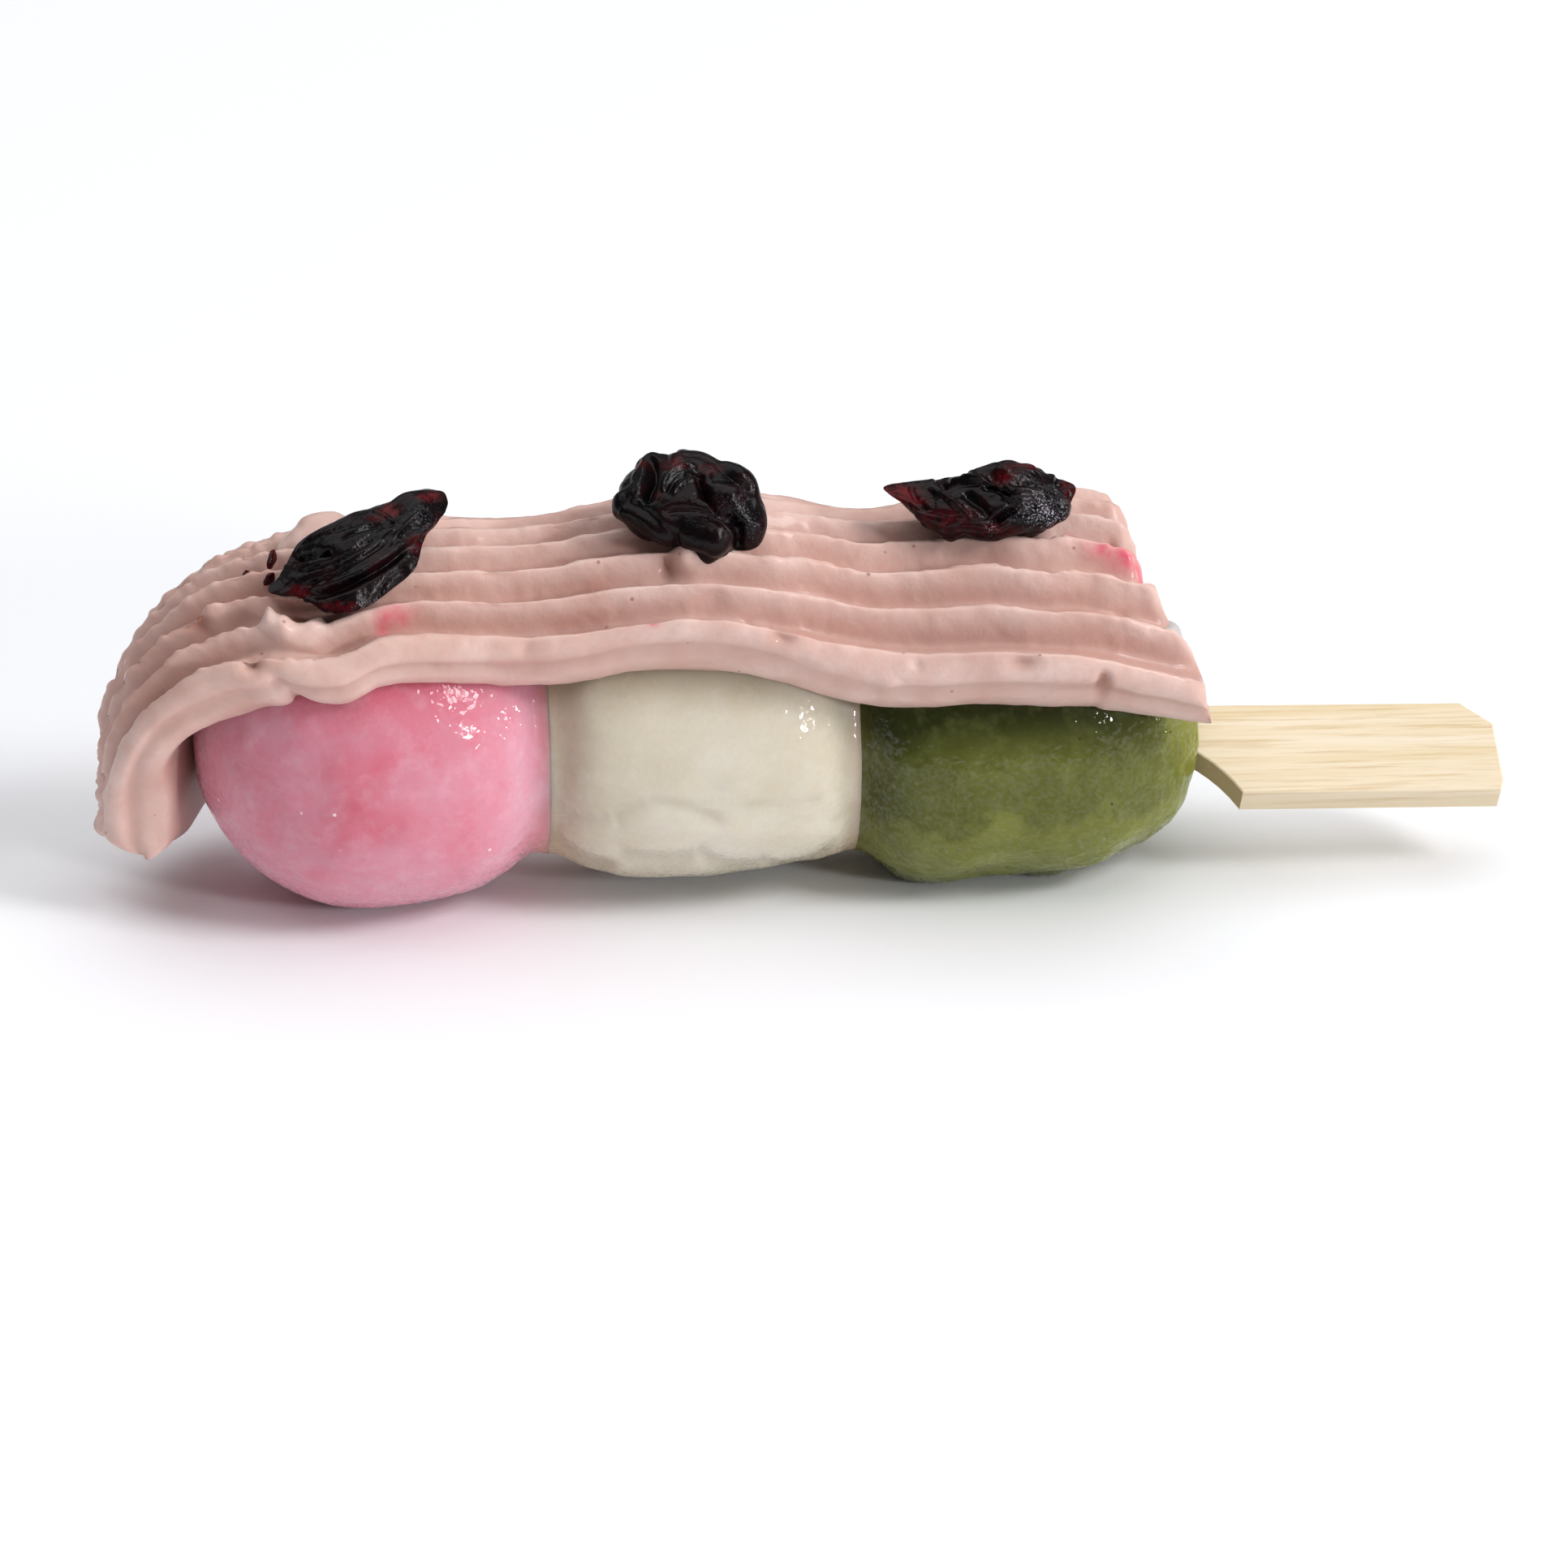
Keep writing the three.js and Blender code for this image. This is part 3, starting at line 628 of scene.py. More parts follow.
# How much of the ribbon hangs, from 0 on the row to 1 low on the drape.
def drapeShare(along):
    return smoothStep(-along, 16, 26)


# The underside follows the largest dumpling below it, bridges their joins, and opens on the drape
# from the circle to a flat: radius / cos of the angle.
def undersideRadius(along, degrees):
    x = pink["middle"] + np.maximum(0, along)
    largest = np.maximum.reduce([dumplingRadius(dumpling, x) for dumpling in (pink, white, green)])
    overRow = np.maximum(ribbon["bridge"], largest)
    onBend = np.where(along < 0, pink["radius"], overRow)
    opened = np.radians(np.clip(degrees + ribbon["flare"], 0, 50))
    return onBend * (1 + drapeShare(along) * (1 / np.cos(opened) - 1))


def crestRadius(along, degrees):
    crest = throughPoints(along, stations[:, 0], stations[:, 1])
    return crest - ribbon["backThinning"] * drapeShare(along) * smoothStep(-degrees, 5, 45)


# Marks in the cream: along, angle, size, height (less than 0 is a pit), stretch along the ribbon.
creamMarks = [
    (-13.7, 14.3, 0.75, -0.75, 1.2), (-11.6, 37.0, 0.85, -1.0, 1.3), (65.3, 56.0, 0.75, -0.9, 0.8),
    (67.7, 36.9, 0.5, -0.4, 1.4), (67.9, 12.4, 0.45, -0.5, 1.2), (36.5, 46.1, 0.6, -0.5, 1.8),
    (57.9, 51.4, 0.7, -0.6, 2.0), (48.5, 51.4, 0.45, -0.35, 1.3), (13.5, 45.0, 0.5, -0.35, 1.6),
    (33.5, 40.0, 0.5, -0.3, 1.0), (30.5, 34.5, 0.6, -0.3, 2.0), (-12.2, 12.7, 0.75, 0.8, 1.3),
    (-8.8, 27.5, 1.0, 1.7, 0.7), (-8.0, 31.0, 1.3, 1.1, 0.8), (-6.6, 35.5, 1.6, 0.6, 1.1),
    (-5.1, 31.6, 0.8, 0.9, 1.2), (-7.2, 24.5, 1.1, -0.8, 1.3), (-5.8, 27.8, 1.0, -0.8, 1.5),
    (28.6, 22.5, 1.1, 1.3, 1.0), (26.6, 23.5, 0.9, -0.6, 0.8), (31.2, 21.5, 1.2, 0.5, 1.5),
    (71.0, 30.5, 0.7, 0.35, 1.5), (66.5, 34.0, 0.8, 0.4, 2.0), (46.0, 56.5, 0.6, 0.35, 1.5),
]
# Berry stains: along, angle, size, strength, stretch.
stainMarks = [(2.0, 33.2, 0.8, 0.75, 1.9), (0.7, 35.2, 0.7, 0.6, 1.0), (64.3, 11.5, 0.6, 1.1, 1.0),
              (66.5, 18.5, 0.7, 0.8, 2.0), (69.0, 20.5, 0.9, 1.0, 1.8), (71.0, 23.5, 0.8, 1.1, 1.2),
              (24.9, 41.7, 0.35, 0.9, 1.5)]


# How near a surface place is to a mark, from 1 at its middle to 0: a bell over the surface distance.
def nearness(along, degrees, radius, mark):
    markAlong, markAngle, size, stretch = mark
    onBend = np.where(along < 0, radius / ribbon["bendRadius"], 1)
    dx = (along - markAlong) * onBend / (size * stretch)
    dy = np.radians(degrees - markAngle) * radius / size
    return np.exp(-(dx * dx + dy * dy))


# The ribbon is a section carried along it. Going round the section: the front wall is a quarter turn
# between the lip and the first crest, then the ridges, crest - depth * |sin(pi ridge)|^sharpness, the
# back wall as the front, and the underside. Towards both ends it thins like a rounded rim.
def ribbonGrid():
    length = ribbon["endBack"] - ribbon["startBack"]
    rim = (1 - np.cos(np.linspace(0, np.pi / 2, ribbon["rimRows"]))) * ribbon["endRounding"]
    innerRows = ribbon["rows"] - 2 * (ribbon["rimRows"] - 1)
    inner = np.linspace(ribbon["endRounding"], length - ribbon["endRounding"], innerRows)
    distance = np.concatenate([rim[:-1], inner, (length - rim[:-1])[::-1]])
    share = (distance / length)[:, None]

    lastRidge = ribbon["ridges"] - 1
    wallTurn = np.linspace(0, np.pi / 2, ribbon["wallColumns"], endpoint=False)[None, :]
    ridge = np.linspace(0, lastRidge, lastRidge * ribbon["ridgeColumns"] + 1)[None, :]
    backTurn = np.linspace(0, np.pi / 2, ribbon["backColumns"])[None, 1:]
    under = np.linspace(0, 1, ribbon["underColumns"])[None, :]
    across = np.concatenate([0 * wallTurn, ridge / ridge.max(), 0 * backTurn + 1, 1 - under], 1)
    end = mix(ribbon["endFront"], ribbon["endBack"], smoothStep(across, 0, 0.5))
    far = 9  # radians from the front lip, where the tip has faded out
    fromLip = np.concatenate([wallTurn, ridge * far + 1.6, backTurn * 0 + far, (1 - under) * far], 1)
    end = end + ribbon["tipLength"] * bell(fromLip, 0.7)
    start = mix(ribbon["startFront"], ribbon["startBack"], smoothStep(across, 0, 0.3))
    along = mix(start, end, share)

    first, step, lip = (throughPoints(along, stations[:, 0], stations[:, i]) for i in (2, 3, 4))
    onLine = np.stack([along, 0 * along, 0 * along], -1)
    lip = lip + ribbon["lipWave"] * lumps(onLine, ribbon["waveLength"], 41)
    lip = lip + sum(height * bell(along - place, width) for place, width, height in ribbon["drips"])
    n = np.cumsum([wallTurn.shape[1], ridge.shape[1], backTurn.shape[1]])
    parts = np.split(np.arange(along.shape[1]), n)
    pick = lambda values, i: values[:, parts[i]]

    wander = ribbon["ridgeWander"] * lumps(onLine, 5.0, 42)
    ridgeNumber = ridge + pick(wander, 1) * np.sin(np.pi * ridge / lastRidge)
    wallAngle = pick(first, 0) + (pick(lip, 0) - pick(first, 0)) * np.cos(wallTurn)
    dip = bell(wallTurn - ribbon["dipAt"], ribbon["dipWidth"])
    wallAngle = wallAngle - ribbon["wallDip"] * dip
    ridgeAngle = pick(first, 1) - ridge * pick(step, 1)
    last = pick(first, 2) - lastRidge * pick(step, 2)
    backAngle = last - ribbon["backEdge"] * np.sin(backTurn)
    lastUnder = pick(first, 3) - lastRidge * pick(step, 3) - ribbon["backEdge"] + ribbon["tuck"]
    underAngle = mix(lastUnder, pick(lip, 3) - ribbon["tuck"], under)

    alongs = [pick(along, i) for i in range(4)]
    broken = sum(nearness(alongs[1], ridgeAngle, 20, place) for place in ribbon["breaks"])
    below = (1 - ridgeNumber % 1) ** ribbon["ridgeLean"]
    groove = ribbon["ridgeDepth"] * np.sin(np.pi * below).clip(0, 1) ** ribbon["ridgeSharpness"]
    groove = groove * (1 - 0.75 * np.clip(broken, 0, 1))
    wallLip = undersideRadius(alongs[0], pick(lip, 0)) + ribbon["lip"]
    wallRadius = mix(wallLip, crestRadius(alongs[0], wallAngle), np.sin(wallTurn))
    ridgeRadius = crestRadius(alongs[1], ridgeAngle) - groove
    backLip = undersideRadius(alongs[2], backAngle) + ribbon["lip"]
    backRadius = mix(backLip, crestRadius(alongs[2], backAngle), np.cos(backTurn))
    underRadius = undersideRadius(alongs[3], underAngle)

    degrees = np.concatenate([wallAngle, ridgeAngle, backAngle, underAngle], 1)
    full = np.concatenate([wallRadius, ridgeRadius, backRadius, underRadius], 1)
    fromEnd = np.minimum(share, 1 - share) * length
    fullness = 0.1 + 0.9 * np.sqrt(1 - np.clip(1 - fromEnd / ribbon["endRounding"], 0, 1) ** 2)
    inside = undersideRadius(along, degrees)
    core = (inside + throughPoints(along, stations[:, 0], stations[:, 1])) / 2
    radius = core + (full - core) * fullness

    outside = np.ones(along.shape[1])
    outside[parts[3]] = 0
    # how much painted shade darkens each place: in the grooves, in the front wall's dip and, below, on the
    # underside
    crestness, grooveShade = np.zeros_like(along), np.zeros_like(along)
    crestness[:, parts[1]] = np.cos(np.pi * ridgeNumber) ** 8
    grooveShade[:, parts[1]] = groove / ribbon["ridgeDepth"]
    grooveShade[:, parts[0]] = 0.55 * dip + 0 * wallAngle
    outerCount = len(outside) - len(parts[3])
    return along, degrees, radius, outside[None, :], crestness, grooveShade, fullness, outerCount


# The grid pushed along its normals by lumps, more of them on the crests and where the cream is ragged,
# and by the marks. Pits, stains and grooves are passed on for the material's colours, the pits and
# grooves as painted shade.
def makeRibbon():
    along, degrees, radius, outside, crestness, grooveShade, fullness, outerCount = ribbonGrid()
    points = onRibbon(along, degrees, radius)
    normals = gridNormals(points, False)
    towards = points - ribbonSpine(along)[0]
    overRidges = slice(30, 90)
    normals = normals * np.sign((normals * towards)[:, overRidges].sum(-1).mean())

    ragged = 0.35 + smoothStep(-along, -1, 8) + 0.5 * smoothStep(along, 60, 70)
    push = lumpy(points, ribbon["lumps"])
    push += crestness * ragged * lumpy(points, ribbon["crestLumps"])
    push += drapeShare(along + 8) * 0.3 * crestness * lumps(points, 3.5, 56)
    pit, stain = np.zeros_like(push), np.zeros_like(push)
    for markAlong, markAngle, size, height, stretch in creamMarks:
        near = nearness(along, degrees, radius, (markAlong, markAngle, size, stretch))
        push += height * near
        # the pits are painted darker, as painted shade
        pit += near * (0.6 if height < -0.4 else 0)
    for markAlong, markAngle, size, strength, stretch in stainMarks:
        stain += strength * nearness(along, degrees, radius, (markAlong, markAngle, size, stretch))
    points = points + normals * (push * outside * np.clip(fullness * 1.2 - 0.1, 0, 1))[..., None]

    rows, columns = along.shape
    faces = gridFaces(rows, columns).tolist()
    faces += capFaces(0, outerCount, columns, False)
    faces += capFaces((rows - 1) * columns, outerCount, columns, True)
    # painted shade for the material: the grooves' own share, and 0.8 all over the underside
    values = {"pit": np.clip(pit * outside, 0, 1), "stain": np.clip(stain * outside, 0, 1),
              "groove": np.clip(grooveShade + 0.8 * (1 - outside), 0, 1)}
    makePiece("creamRibbon", points.reshape(-1, 3), faces, cream, "cream_ribbon", values)


# Closes the ribbon's end: a zigzag of triangles between the outer side and the underside, whose places
# run the other way and are fewer.
def capFaces(start, outerCount, columns, turned):
    innerCount = columns - outerCount
    outer = np.arange(outerCount)
    partner = (outer * (innerCount - 1)) // (outerCount - 1)
    inner = columns - 1 - partner
    fans = [(start + outer[i], start + outer[i + 1], start + inner[i]) for i in range(outerCount - 1)]
    fans += [(start + outer[i + 1], start + inner[i + 1], start + inner[i])
             for i in range(outerCount - 1) if inner[i] != inner[i + 1]]
    fans = [tuple(int(v) for v in fan) for fan in fans]
    return [fan if turned else fan[::-1] for fan in fans]


makeRibbon()


# ---- dried cherries

# Where a topping sits: along and angle on the ribbon, height above its axis; turn is the long axis's
# angle from the ribbon towards the back, lift raises its right end and roll tips it to the front.
# corners are its rim as seen, right and up. bulk and rise give its thickness and its middle's height from
# its left end, -1, to its right end, 1.
# Creases: from right and up to right and up, bend, width, height (less than 0 is a valley).
# Dents: right, up, size, height. Reds (partly a painted glow) and painted glint patches: right, up, half
# width, half height, strength.
cherries = [
    dict(name="leftCherry", node="cherry_left", along=-0.75, angle=15.6, height=21.1, turn=36, lift=6,
        roll=8, length=18, thick=5.2, seed=61, rimPower=0.8, rimGlow=0.3, sheet=0.6, grain=(6.5, 0.9, 2.6),
        warp=0.4, wrinkle=(0.12, 0.08),
        corners=((7.8, 4.7), (7.2, 2.7), (6.2, 1.2), (5.2, -1.5), (2.8, -3.7), (-0.5, -5.5), (-2.6, -5.4),
            (-4.3, -4.4), (-5.4, -3.8), (-7.9, -3.6), (-7.1, -2.1), (-6.4, -0.8), (-5.4, 0.9), (-3.6, 2.2),
            (-1.3, 3.0), (1.2, 3.8), (3.4, 4.6), (5.6, 5.6), (7.0, 5.5)),
        bulk=((-1, 0.6), (-0.4, 0.95), (0.2, 1.05), (0.7, 0.95), (1, 0.7)),
        rise=((-1, -0.2), (0, 0), (1, 0.4)),
        creases=[(-5.9, -0.7, -2.3, -0.2, 0.1, 0.35, -0.9), (-3.5, -4.1, 4.6, 0.1, -0.6, 0.35, -0.7),
            (-3.8, -3.5, 4.2, 0.7, -0.6, 0.3, 0.35), (-5.0, -2.0, 1.6, 0.9, -0.3, 0.22, -0.3),
            (-4.5, -3.1, 2.8, 0.8, -0.45, 0.2, -0.3), (1.2, 3.6, 3.6, 2.5, 0.1, 0.18, 0.35),
            (3.4, 1.0, 5.9, 3.9, 0.1, 0.2, 0.3), (4.0, 0.4, 6.7, 2.5, -0.1, 0.22, 0.3),
            (-1.5, 0.9, 3.0, 2.4, 0.2, 0.2, -0.25), (-4.8, 0.6, 0.4, 2.4, 0.2, 0.2, -0.2)],
        dents=[(4.9, -1.5, 0.6, -0.35), (3.3, 3.4, 0.8, -0.3)],
        reds=[(2.9, 3.9, 1.0, 0.6, 0.85), (6.3, 5.0, 1.1, 0.5, 0.9), (-4.9, -3.7, 1.0, 0.6, 0.8),
            (-1.4, -5.1, 2.0, 0.5, 0.6), (5.2, 0.6, 1.0, 0.9, 0.55), (1.6, 3.0, 1.0, 0.5, 0.4)],
        glintPatches=[(5.7, 3.0, 1.3, 1.2, 0.2)]),
    dict(name="middleCherry", node="cherry_middle", along=29.3, angle=10, height=23.5, turn=-32, lift=-6,
        roll=0, length=14.5, thick=8.2, seed=71, rimPower=0.5, rimGlow=0, sheet=0.4, grain=(3.6, 3.6, 3.6),
        warp=0.9, wrinkle=(0.45, 0.1),
        corners=((6.7, -1.0), (6.5, -2.3), (5.6, -2.8), (4.2, -3.0), (3.5, -3.5), (2.4, -3.8), (1.2, -3.5),
            (-0.8, -3.2), (-3.3, -2.4), (-5.6, -1.4), (-6.7, -0.4), (-6.4, 1.0), (-5.4, 2.8), (-3.9, 3.6),
            (-2.3, 3.3), (-1.0, 3.6), (0.5, 3.2), (1.9, 2.6), (3.4, 1.7), (5.2, 1.1), (6.0, 0.4)),
        bulk=((-1, 1), (1, 1)), rise=((-1, 0.2), (1, -0.2)),
        creases=[(-3.5, 4.2, -4.0, 0.2, 0.2, 0.45, -1.1), (-4.1, 3.5, -5.1, 0.2, 0.15, 0.18, 0.35),
            (-2.5, 1.5, 0.3, 3.5, 0.7, 0.2, 0.4), (-2.0, 1.1, 0.6, 2.9, 0.6, 0.22, -0.4),
            (-1.5, 1.0, 0.8, 2.3, 0.4, 0.15, 0.2), (0.7, 2.8, 4.2, -1.9, -0.4, 0.45, -1.0),
            (1.8, 2.4, 5.6, 1.2, 0.2, 0.5, -0.4), (4.2, -1.8, 4.4, -4.2, 0.2, 0.4, -0.8),
            (-5.2, 0.0, -1.0, -4.3, 0.5, 0.5, -0.4), (-2.2, -0.6, 2.6, -1.3, 0.5, 0.3, -0.3),
            (1.8, -1.2, 3.6, -3.0, 0.2, 0.2, 0.3)],
        dents=[(1.4, 0.9, 0.6, -0.7), (2.3, -3.7, 1.6, 0.6), (5.2, -1.2, 1.8, 0.3), (-6.1, -0.7, 0.8, 0.6),
            (-3.9, 4.6, 0.9, 0.5), (-1.0, 4.7, 0.8, 0.4), (-2.4, 4.6, 0.6, -0.3)],
        reds=[(-1.6, 3.7, 1.3, 0.7, 0.75), (-4.7, 3.8, 0.7, 0.6, 0.7), (1.9, 3.2, 1.1, 0.5, 0.6),
            (-2.8, 0.8, 0.8, 1.0, 0.25)],
        glintPatches=[(4.0, 0.3, 1.4, 0.6, 0.18), (5.4, -2.0, 1.0, 1.4, 0.15), (3.2, -1.2, 1.2, 0.5, 0.15)]),
    dict(name="rightCherry", node="cherry_right", along=56, angle=6, height=23.6, turn=4, lift=0, roll=0,
        length=17.8, thick=7.0, seed=81, rimPower=0.62, rimGlow=0.3, sheet=0.4, grain=(3.8, 1.8, 1.8),
        warp=0.7, wrinkle=(0.36, 0.17),
        corners=((8.8, 0.7), (8.3, -0.5), (7.2, -1.6), (4.0, -2.3), (-1.0, -2.4), (-5.0, -2.1),
            (-6.8, -1.2), (-8.9, 0.2), (-7.2, 0.9), (-4.6, 1.2), (-3.3, 1.0), (-1.3, 1.4), (0.3, 1.3),
            (2.2, 1.8), (4.0, 1.9), (5.6, 1.8), (7.2, 1.4)),
        bulk=((-1, 0.3), (-0.8, 0.5), (-0.55, 0.8), (-0.1, 0.85), (0.25, 1.0), (0.6, 1.0), (0.85, 0.8),
            (1, 0.5)),
        rise=((-1, 1.4), (-0.8, 1.1), (-0.55, -0.1), (-0.1, -0.3), (0.25, 0.0), (0.6, 0.2), (0.85, 0.3),
            (1, 0.8)),
        creases=[(-4.6, 0.9, -1.0, -1.7, 0.2, 0.2, 0.45), (-1.5, 0.5, 0.7, -1.5, 0.1, 0.45, -0.6),
            (-2.9, 1.5, 2.0, 0.9, 0.6, 0.28, 0.5), (0.2, 1.1, 2.6, 0.2, 0.3, 0.35, -0.6),
            (2.0, 0.3, 3.6, -0.8, 0.1, 0.22, 0.45), (1.2, -2.3, 3.0, -1.0, 0.2, 0.35, -0.7),
            (5.9, 1.4, 7.8, -0.6, 0.2, 0.28, 0.45), (6.9, 2.0, 8.1, -0.1, 0.1, 0.25, -0.4),
            (2.6, 1.4, 6.0, 1.2, 0.2, 0.22, -0.35), (3.0, 0.8, 6.0, 0.5, 0.2, 0.22, 0.3),
            (-6.3, 1.4, -5.0, -0.9, -0.2, 0.3, -0.35), (-4.0, 1.9, -3.0, 1.2, 0, 0.3, -0.5)],
        dents=[(2.2, 2.6, 0.7, 0.5), (1.0, 2.0, 0.7, -0.5), (-3.3, 1.7, 0.6, -0.4), (5.0, 3.2, 1.0, 0.3)],
        reds=[(-8.0, 0.6, 1.5, 1.0, 1.3), (-6.2, 0.2, 1.4, 0.9, 0.7), (-3.2, -1.9, 3.2, 1.2, 0.42),
            (2.1, 2.0, 1.0, 0.7, 0.75), (8.2, 0.9, 0.8, 1.6, 0.7), (4.3, 3.2, 1.6, 0.5, 0.8),
            (1.5, -2.8, 2.5, 0.6, 0.4)],
        glintPatches=[(6.0, -1.5, 2.2, 0.9, 1.0), (5.4, 0.0, 1.0, 1.0, 0.8), (0.8, -2.6, 0.5, 0.5, 0.6)]),
]


# The directions at a topping: along the ribbon, towards the back and outwards, then turned.
def toppingAxes(topping):
    out = onRibbon(topping["along"], topping["angle"], 1.0) - onRibbon(topping["along"], 0, 0.0)
    forward = np.array([out[2], 0, -out[0]])
    forward = forward / np.linalg.norm(forward)
    back = np.cross(out, forward)
    turn, lift, roll = (math.radians(topping.get(key, 0)) for key in ("turn", "lift", "roll"))
    long = math.cos(turn) * forward + math.sin(turn) * back
    wide = -math.sin(turn) * forward + math.cos(turn) * back
    long, out = math.cos(lift) * long + math.sin(lift) * out, math.cos(lift) * out - math.sin(lift) * long
    wide, out = math.cos(roll) * wide + math.sin(roll) * out, math.cos(roll) * out - math.sin(roll) * wide
    return np.stack([long, wide, out])


# A dried fruit is a leaf of skin and flesh: polar places (angle, share from the middle) inside a wavy
# outline, half its thickness above and below a bent sheet, thin at the rim by (1 - share^2)^rimPower.
# Wrinkles then push it along its normals, |lumps| giving round folds with sharp valleys, and so do the
# creases and dents on the side it is described from. It is red where it is thin, in places: the flesh's
# own colour with a painted glow of light through it. It has painted glint specks in a few given places.
def makeCherry(cherry, rows=170, columns=300):
    axes = toppingAxes(cherry)
    seen = np.array([axes[:2] @ rightwards, axes[:2] @ upwards])
    rim = np.array(cherry["corners"]) @ np.linalg.inv(seen).T
    rim = rim[np.argsort(np.arctan2(rim[:, 1], rim[:, 0]))]
    knots, values = np.arctan2(rim[:, 1], rim[:, 0]), np.hypot(rim[:, 0], rim[:, 1])
    turn = np.linspace(0, np.pi, rows)[:, None]
    angle = np.linspace(-np.pi, np.pi, columns, endpoint=False)[None, :]
    allRound = np.concatenate([knots - 2 * np.pi, knots, knots + 2 * np.pi])
    reach = throughPoints(angle, allRound, np.tile(values, 3))
    length, thick = cherry["length"], cherry["thick"]
    x = np.sin(turn) * reach * np.cos(angle)
    y = np.sin(turn) * reach * np.sin(angle)
    endwise = np.clip(2 * x / length, -1, 1)
    thickness = thick * throughPoints(endwise, *zip(*cherry["bulk"]))
    thickness = thickness * np.abs(np.cos(turn)) ** (2 * cherry["rimPower"])
    flat = np.stack(np.broadcast_arrays(x, y, 0 * x), -1)
    seed = cherry["seed"]
    sheet = cherry["sheet"] * (lumps(flat, 5.5, seed) + 0.4 * lumps(flat, 2.4, seed + 1))
    sheet = sheet * smoothStep(np.sin(turn), 0.15, 0.9) + throughPoints(endwise, *zip(*cherry["rise"]))
    z = thickness / 2 * np.sign(np.cos(turn)) * (0.95 + 0.2 * lumps(flat, 4, seed + 2)) + sheet
    grid = np.stack([x, y, z], -1)
    normals = gridNormals(grid, True)
    normals = normals * np.sign((normals * (grid - grid.mean((0, 1)))).sum(-1).mean())

    warp = cherry["warp"] * np.stack([lumps(grid, 3, seed + i) for i in (3, 4, 5)], -1)
    grain = np.array(cherry["grain"])
    broad, fine = cherry["wrinkle"]
    push = 1.6 * broad * (np.abs(lumps(grid + warp, grain, seed + 6)) - 0.3)
    push += fine * (np.abs(lumps(grid + 1.5 * warp, grain * 0.45, seed + 7)) - 0.3)

    turned, outward = grid @ axes, normals @ axes
    right, up = turned @ rightwards, turned @ upwards
    right = right - (right.max() + right.min()) / 2
    up = up - (up.max() + up.min()) / 2
    facing = smoothStep(outward @ towardsEye, -0.15, 0.25)
    push += facing * sum(creased(right, up, line) for line in cherry["creases"])
    dents = [(x, y, size, size, height) for x, y, size, height in cherry["dents"]]
    push += facing * patched(right, up, dents)
    inPlaces = smoothStep(lumps(flat + 50, 4, seed + 8), -0.3, 0.4)
    # where the red's painted glow shows: thin rims in places and the given red spots
    thin = cherry["rimGlow"] * (1 - smoothStep(thickness, 0.2, 0.3 * thick)) * inPlaces
    thin = np.maximum(thin, facing * patched(right, up, cherry["reds"]))
    # where the painted glint specks go
    glintPaint = facing * patched(right, up, cherry["glintPatches"])
    middle = onRibbon(cherry["along"], cherry["angle"], cherry["height"])
    points = turned + outward * push[..., None] + middle
    makeSkin(cherry["name"], points, cherrySkin, cherry["node"],
             {"thin": np.clip(thin, 0, 1), "glintPaint": np.clip(glintPaint, 0, 1)})


for cherry in cherries:
    makeCherry(cherry)


# Slivers of cherry beside the left one, round wavy bars that taper to both ends: half width *
# (1 - share^2)^0.8, squashed flat. Each is along, angle, height, turn, length, half width.
crumbs = [(-7.2, 4.2, 20.3, 60, 2.4, 0.48), (-9.2, 5.4, 20.4, -50, 1.7, 0.42),
          (-7.8, 11.0, 19.9, 20, 1.5, 0.45), (-6.4, 10.0, 19.7, 75, 1.4, 0.45)]


def makeCrumbs():
    rows, columns = 9, 8
    points, faces = [], []
    for number, (along, angle, height, turn, length, half) in enumerate(crumbs):
        axes = toppingAxes(dict(along=along, angle=angle, turn=turn, lift=15))
        share = np.linspace(-1, 1, rows)[:, None]
        spin = np.linspace(0, 2 * np.pi, columns, endpoint=False)[None, :]
        radius = half * np.clip(1 - share ** 2, 0.01, 1) ** 0.8 * (1 + 0.3 * np.cos(3 * spin + 2 * share))
        bar = np.stack(np.broadcast_arrays(length / 2 * share, radius * np.cos(spin) * 0.6,
                                           radius * np.sin(spin)), -1)
        points.append(bar.reshape(-1, 3) @ axes + onRibbon(along, angle, height))
        start = number * rows * columns
        faces += (gridFaces(rows, columns) + start).tolist()
        end = start + (rows - 1) * columns
        faces += [list(range(start, start + columns))[::-1], list(range(end, end + columns))]
    points = np.concatenate(points)
    # half thin all over, so the crumbs take part of the cherries' red and its painted glow
    thin = 0.5 * np.ones(len(points))
    makePiece("cherryCrumbs", points, faces, cherrySkin, None,
              {"thin": thin, "glintPaint": 0 * thin})


makeCrumbs()


# A soft drop: a ball squashed to its three half sizes and pushed out and in by lumps.
def makeDrop(name, drop, material, attributes=()):
    rows, columns = 60, 90
    turn = np.linspace(0, np.pi, rows)[:, None]
    spin = np.linspace(0, 2 * np.pi, columns, endpoint=False)[None, :]
    ball = np.stack(np.broadcast_arrays(np.sin(turn) * np.cos(spin), np.sin(turn) * np.sin(spin),
                                        np.cos(turn) + 0 * spin), -1)
    swell = 1 + drop["lumpy"] * lumps(ball * np.array(drop["size"]), drop["size"][2], drop["seed"])
    points = ball * swell[..., None] * np.array(drop["size"])
    points = points @ toppingAxes(drop) + onRibbon(drop["along"], drop["angle"], drop["height"])
    makeSkin(name, points, material, None, {label: 0 * swell for label in attributes})


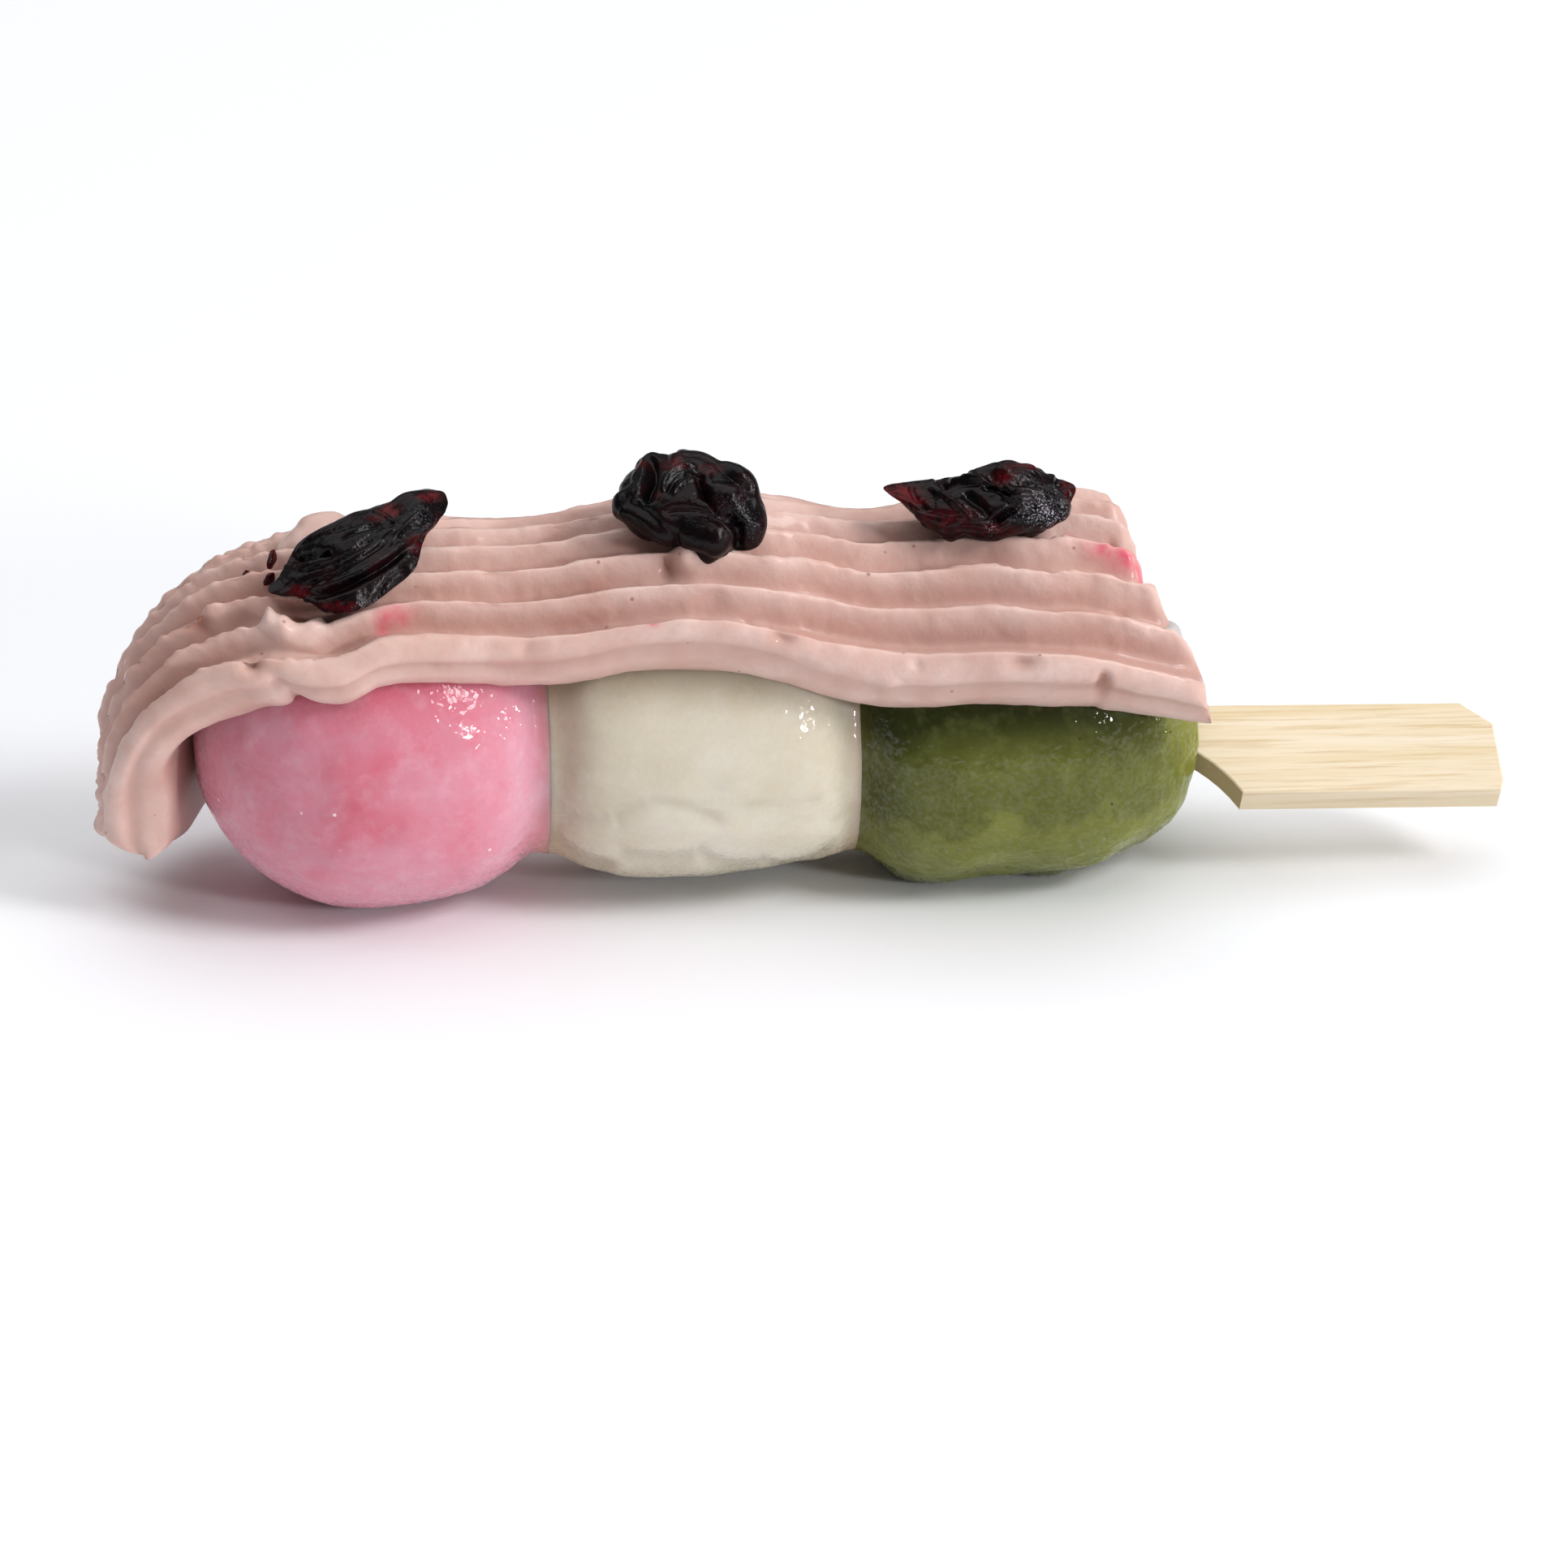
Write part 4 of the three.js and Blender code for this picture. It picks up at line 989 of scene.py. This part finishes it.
makeDrop("creamDab", dict(along=-3.8, angle=-9, height=19.1, turn=25, size=(3.6, 2.2, 2.0), lumpy=0.22,
                          seed=91), cream, ("pit", "stain", "groove"))
jelly = starchJelly()
makeDrop("jellyUpper", dict(along=72.0, angle=41, height=17.5, size=(1.6, 2.2, 1.8), lumpy=0.15, seed=92),
         jelly)
makeDrop("jellyLower", dict(along=72.9, angle=50, height=16.4, size=(1.5, 2.4, 1.6), lumpy=0.15, seed=93),
         jelly)


# ---- skewer

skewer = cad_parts["skewer"]
skewer.data.materials.clear()
skewer.data.materials.append(bamboo)


# ---- floor, light and camera

bpy.ops.mesh.primitive_plane_add(size=4.0)
floor = bpy.context.object
floor.name = "paleFloor"
floorMaterial, floorTree = newMaterial("paleBoard")
floorShader = addNode(floorTree, "BsdfPrincipled", {
    "Base Color": (0.94, 0.95, 0.98, 1), "Roughness": 0.9, "Specular IOR Level": 0.0})
addNode(floorTree, "OutputMaterial", {"Surface": floorShader})
floor.data.materials.append(floorMaterial)

# Azimuth from +X towards the front and elevation in degrees, distance and size in m, power in W
lights = [
    dict(name="windowKey", azimuth=35, elevation=41, distance=2.5, size=(0.8, 0.8), power=31),
    dict(name="windowPane", azimuth=49, elevation=17, distance=2.5, size=(0.24, 0.3), power=18),
    dict(name="sideWindow", azimuth=14, elevation=10, distance=2.5, size=(0.16, 0.2), power=6),
    dict(name="softCeiling", azimuth=-90, elevation=80, distance=2.6, size=(4.0, 4.0), power=66),
]
for light in lights:
    data = bpy.data.lights.new(light["name"], "AREA")
    data.shape, data.size, data.size_y, data.energy = "RECTANGLE", *light["size"], light["power"]
    lamp = bpy.data.objects.new(light["name"], data)
    bpy.context.scene.collection.objects.link(lamp)
    azimuth, elevation = math.radians(light["azimuth"]), math.radians(light["elevation"])
    direction = Vector((math.cos(elevation) * math.cos(azimuth), -math.cos(elevation) * math.sin(azimuth),
                        math.sin(elevation)))
    lamp.location = direction * light["distance"]
    lamp.rotation_euler = direction.to_track_quat("Z", "Y").to_euler()

room = dict(Color=(0.95, 0.98, 1.0, 1), Strength=0.14)
world = bpy.data.worlds.new("softRoom")
bpy.context.scene.world = world
world.use_nodes = True
for name, value in room.items():
    world.node_tree.nodes["Background"].inputs[name].default_value = value

view = dict(aim=(-1.9, -2.4, 10.1), distance=605, lens=150, sensor=36)
cameraData = bpy.data.cameras.new("camera")
cameraData.lens, cameraData.sensor_width = view["lens"], view["sensor"]
camera = bpy.data.objects.new("camera", cameraData)
bpy.context.scene.collection.objects.link(camera)
camera.location = (Vector(view["aim"]) + Vector(towardsEye) * view["distance"]) * mm
camera.rotation_euler = Vector(towardsEye).to_track_quat("Z", "Y").to_euler()
bpy.context.scene.camera = camera
bpy.context.scene.view_settings.view_transform = "Standard"
print("stage set")
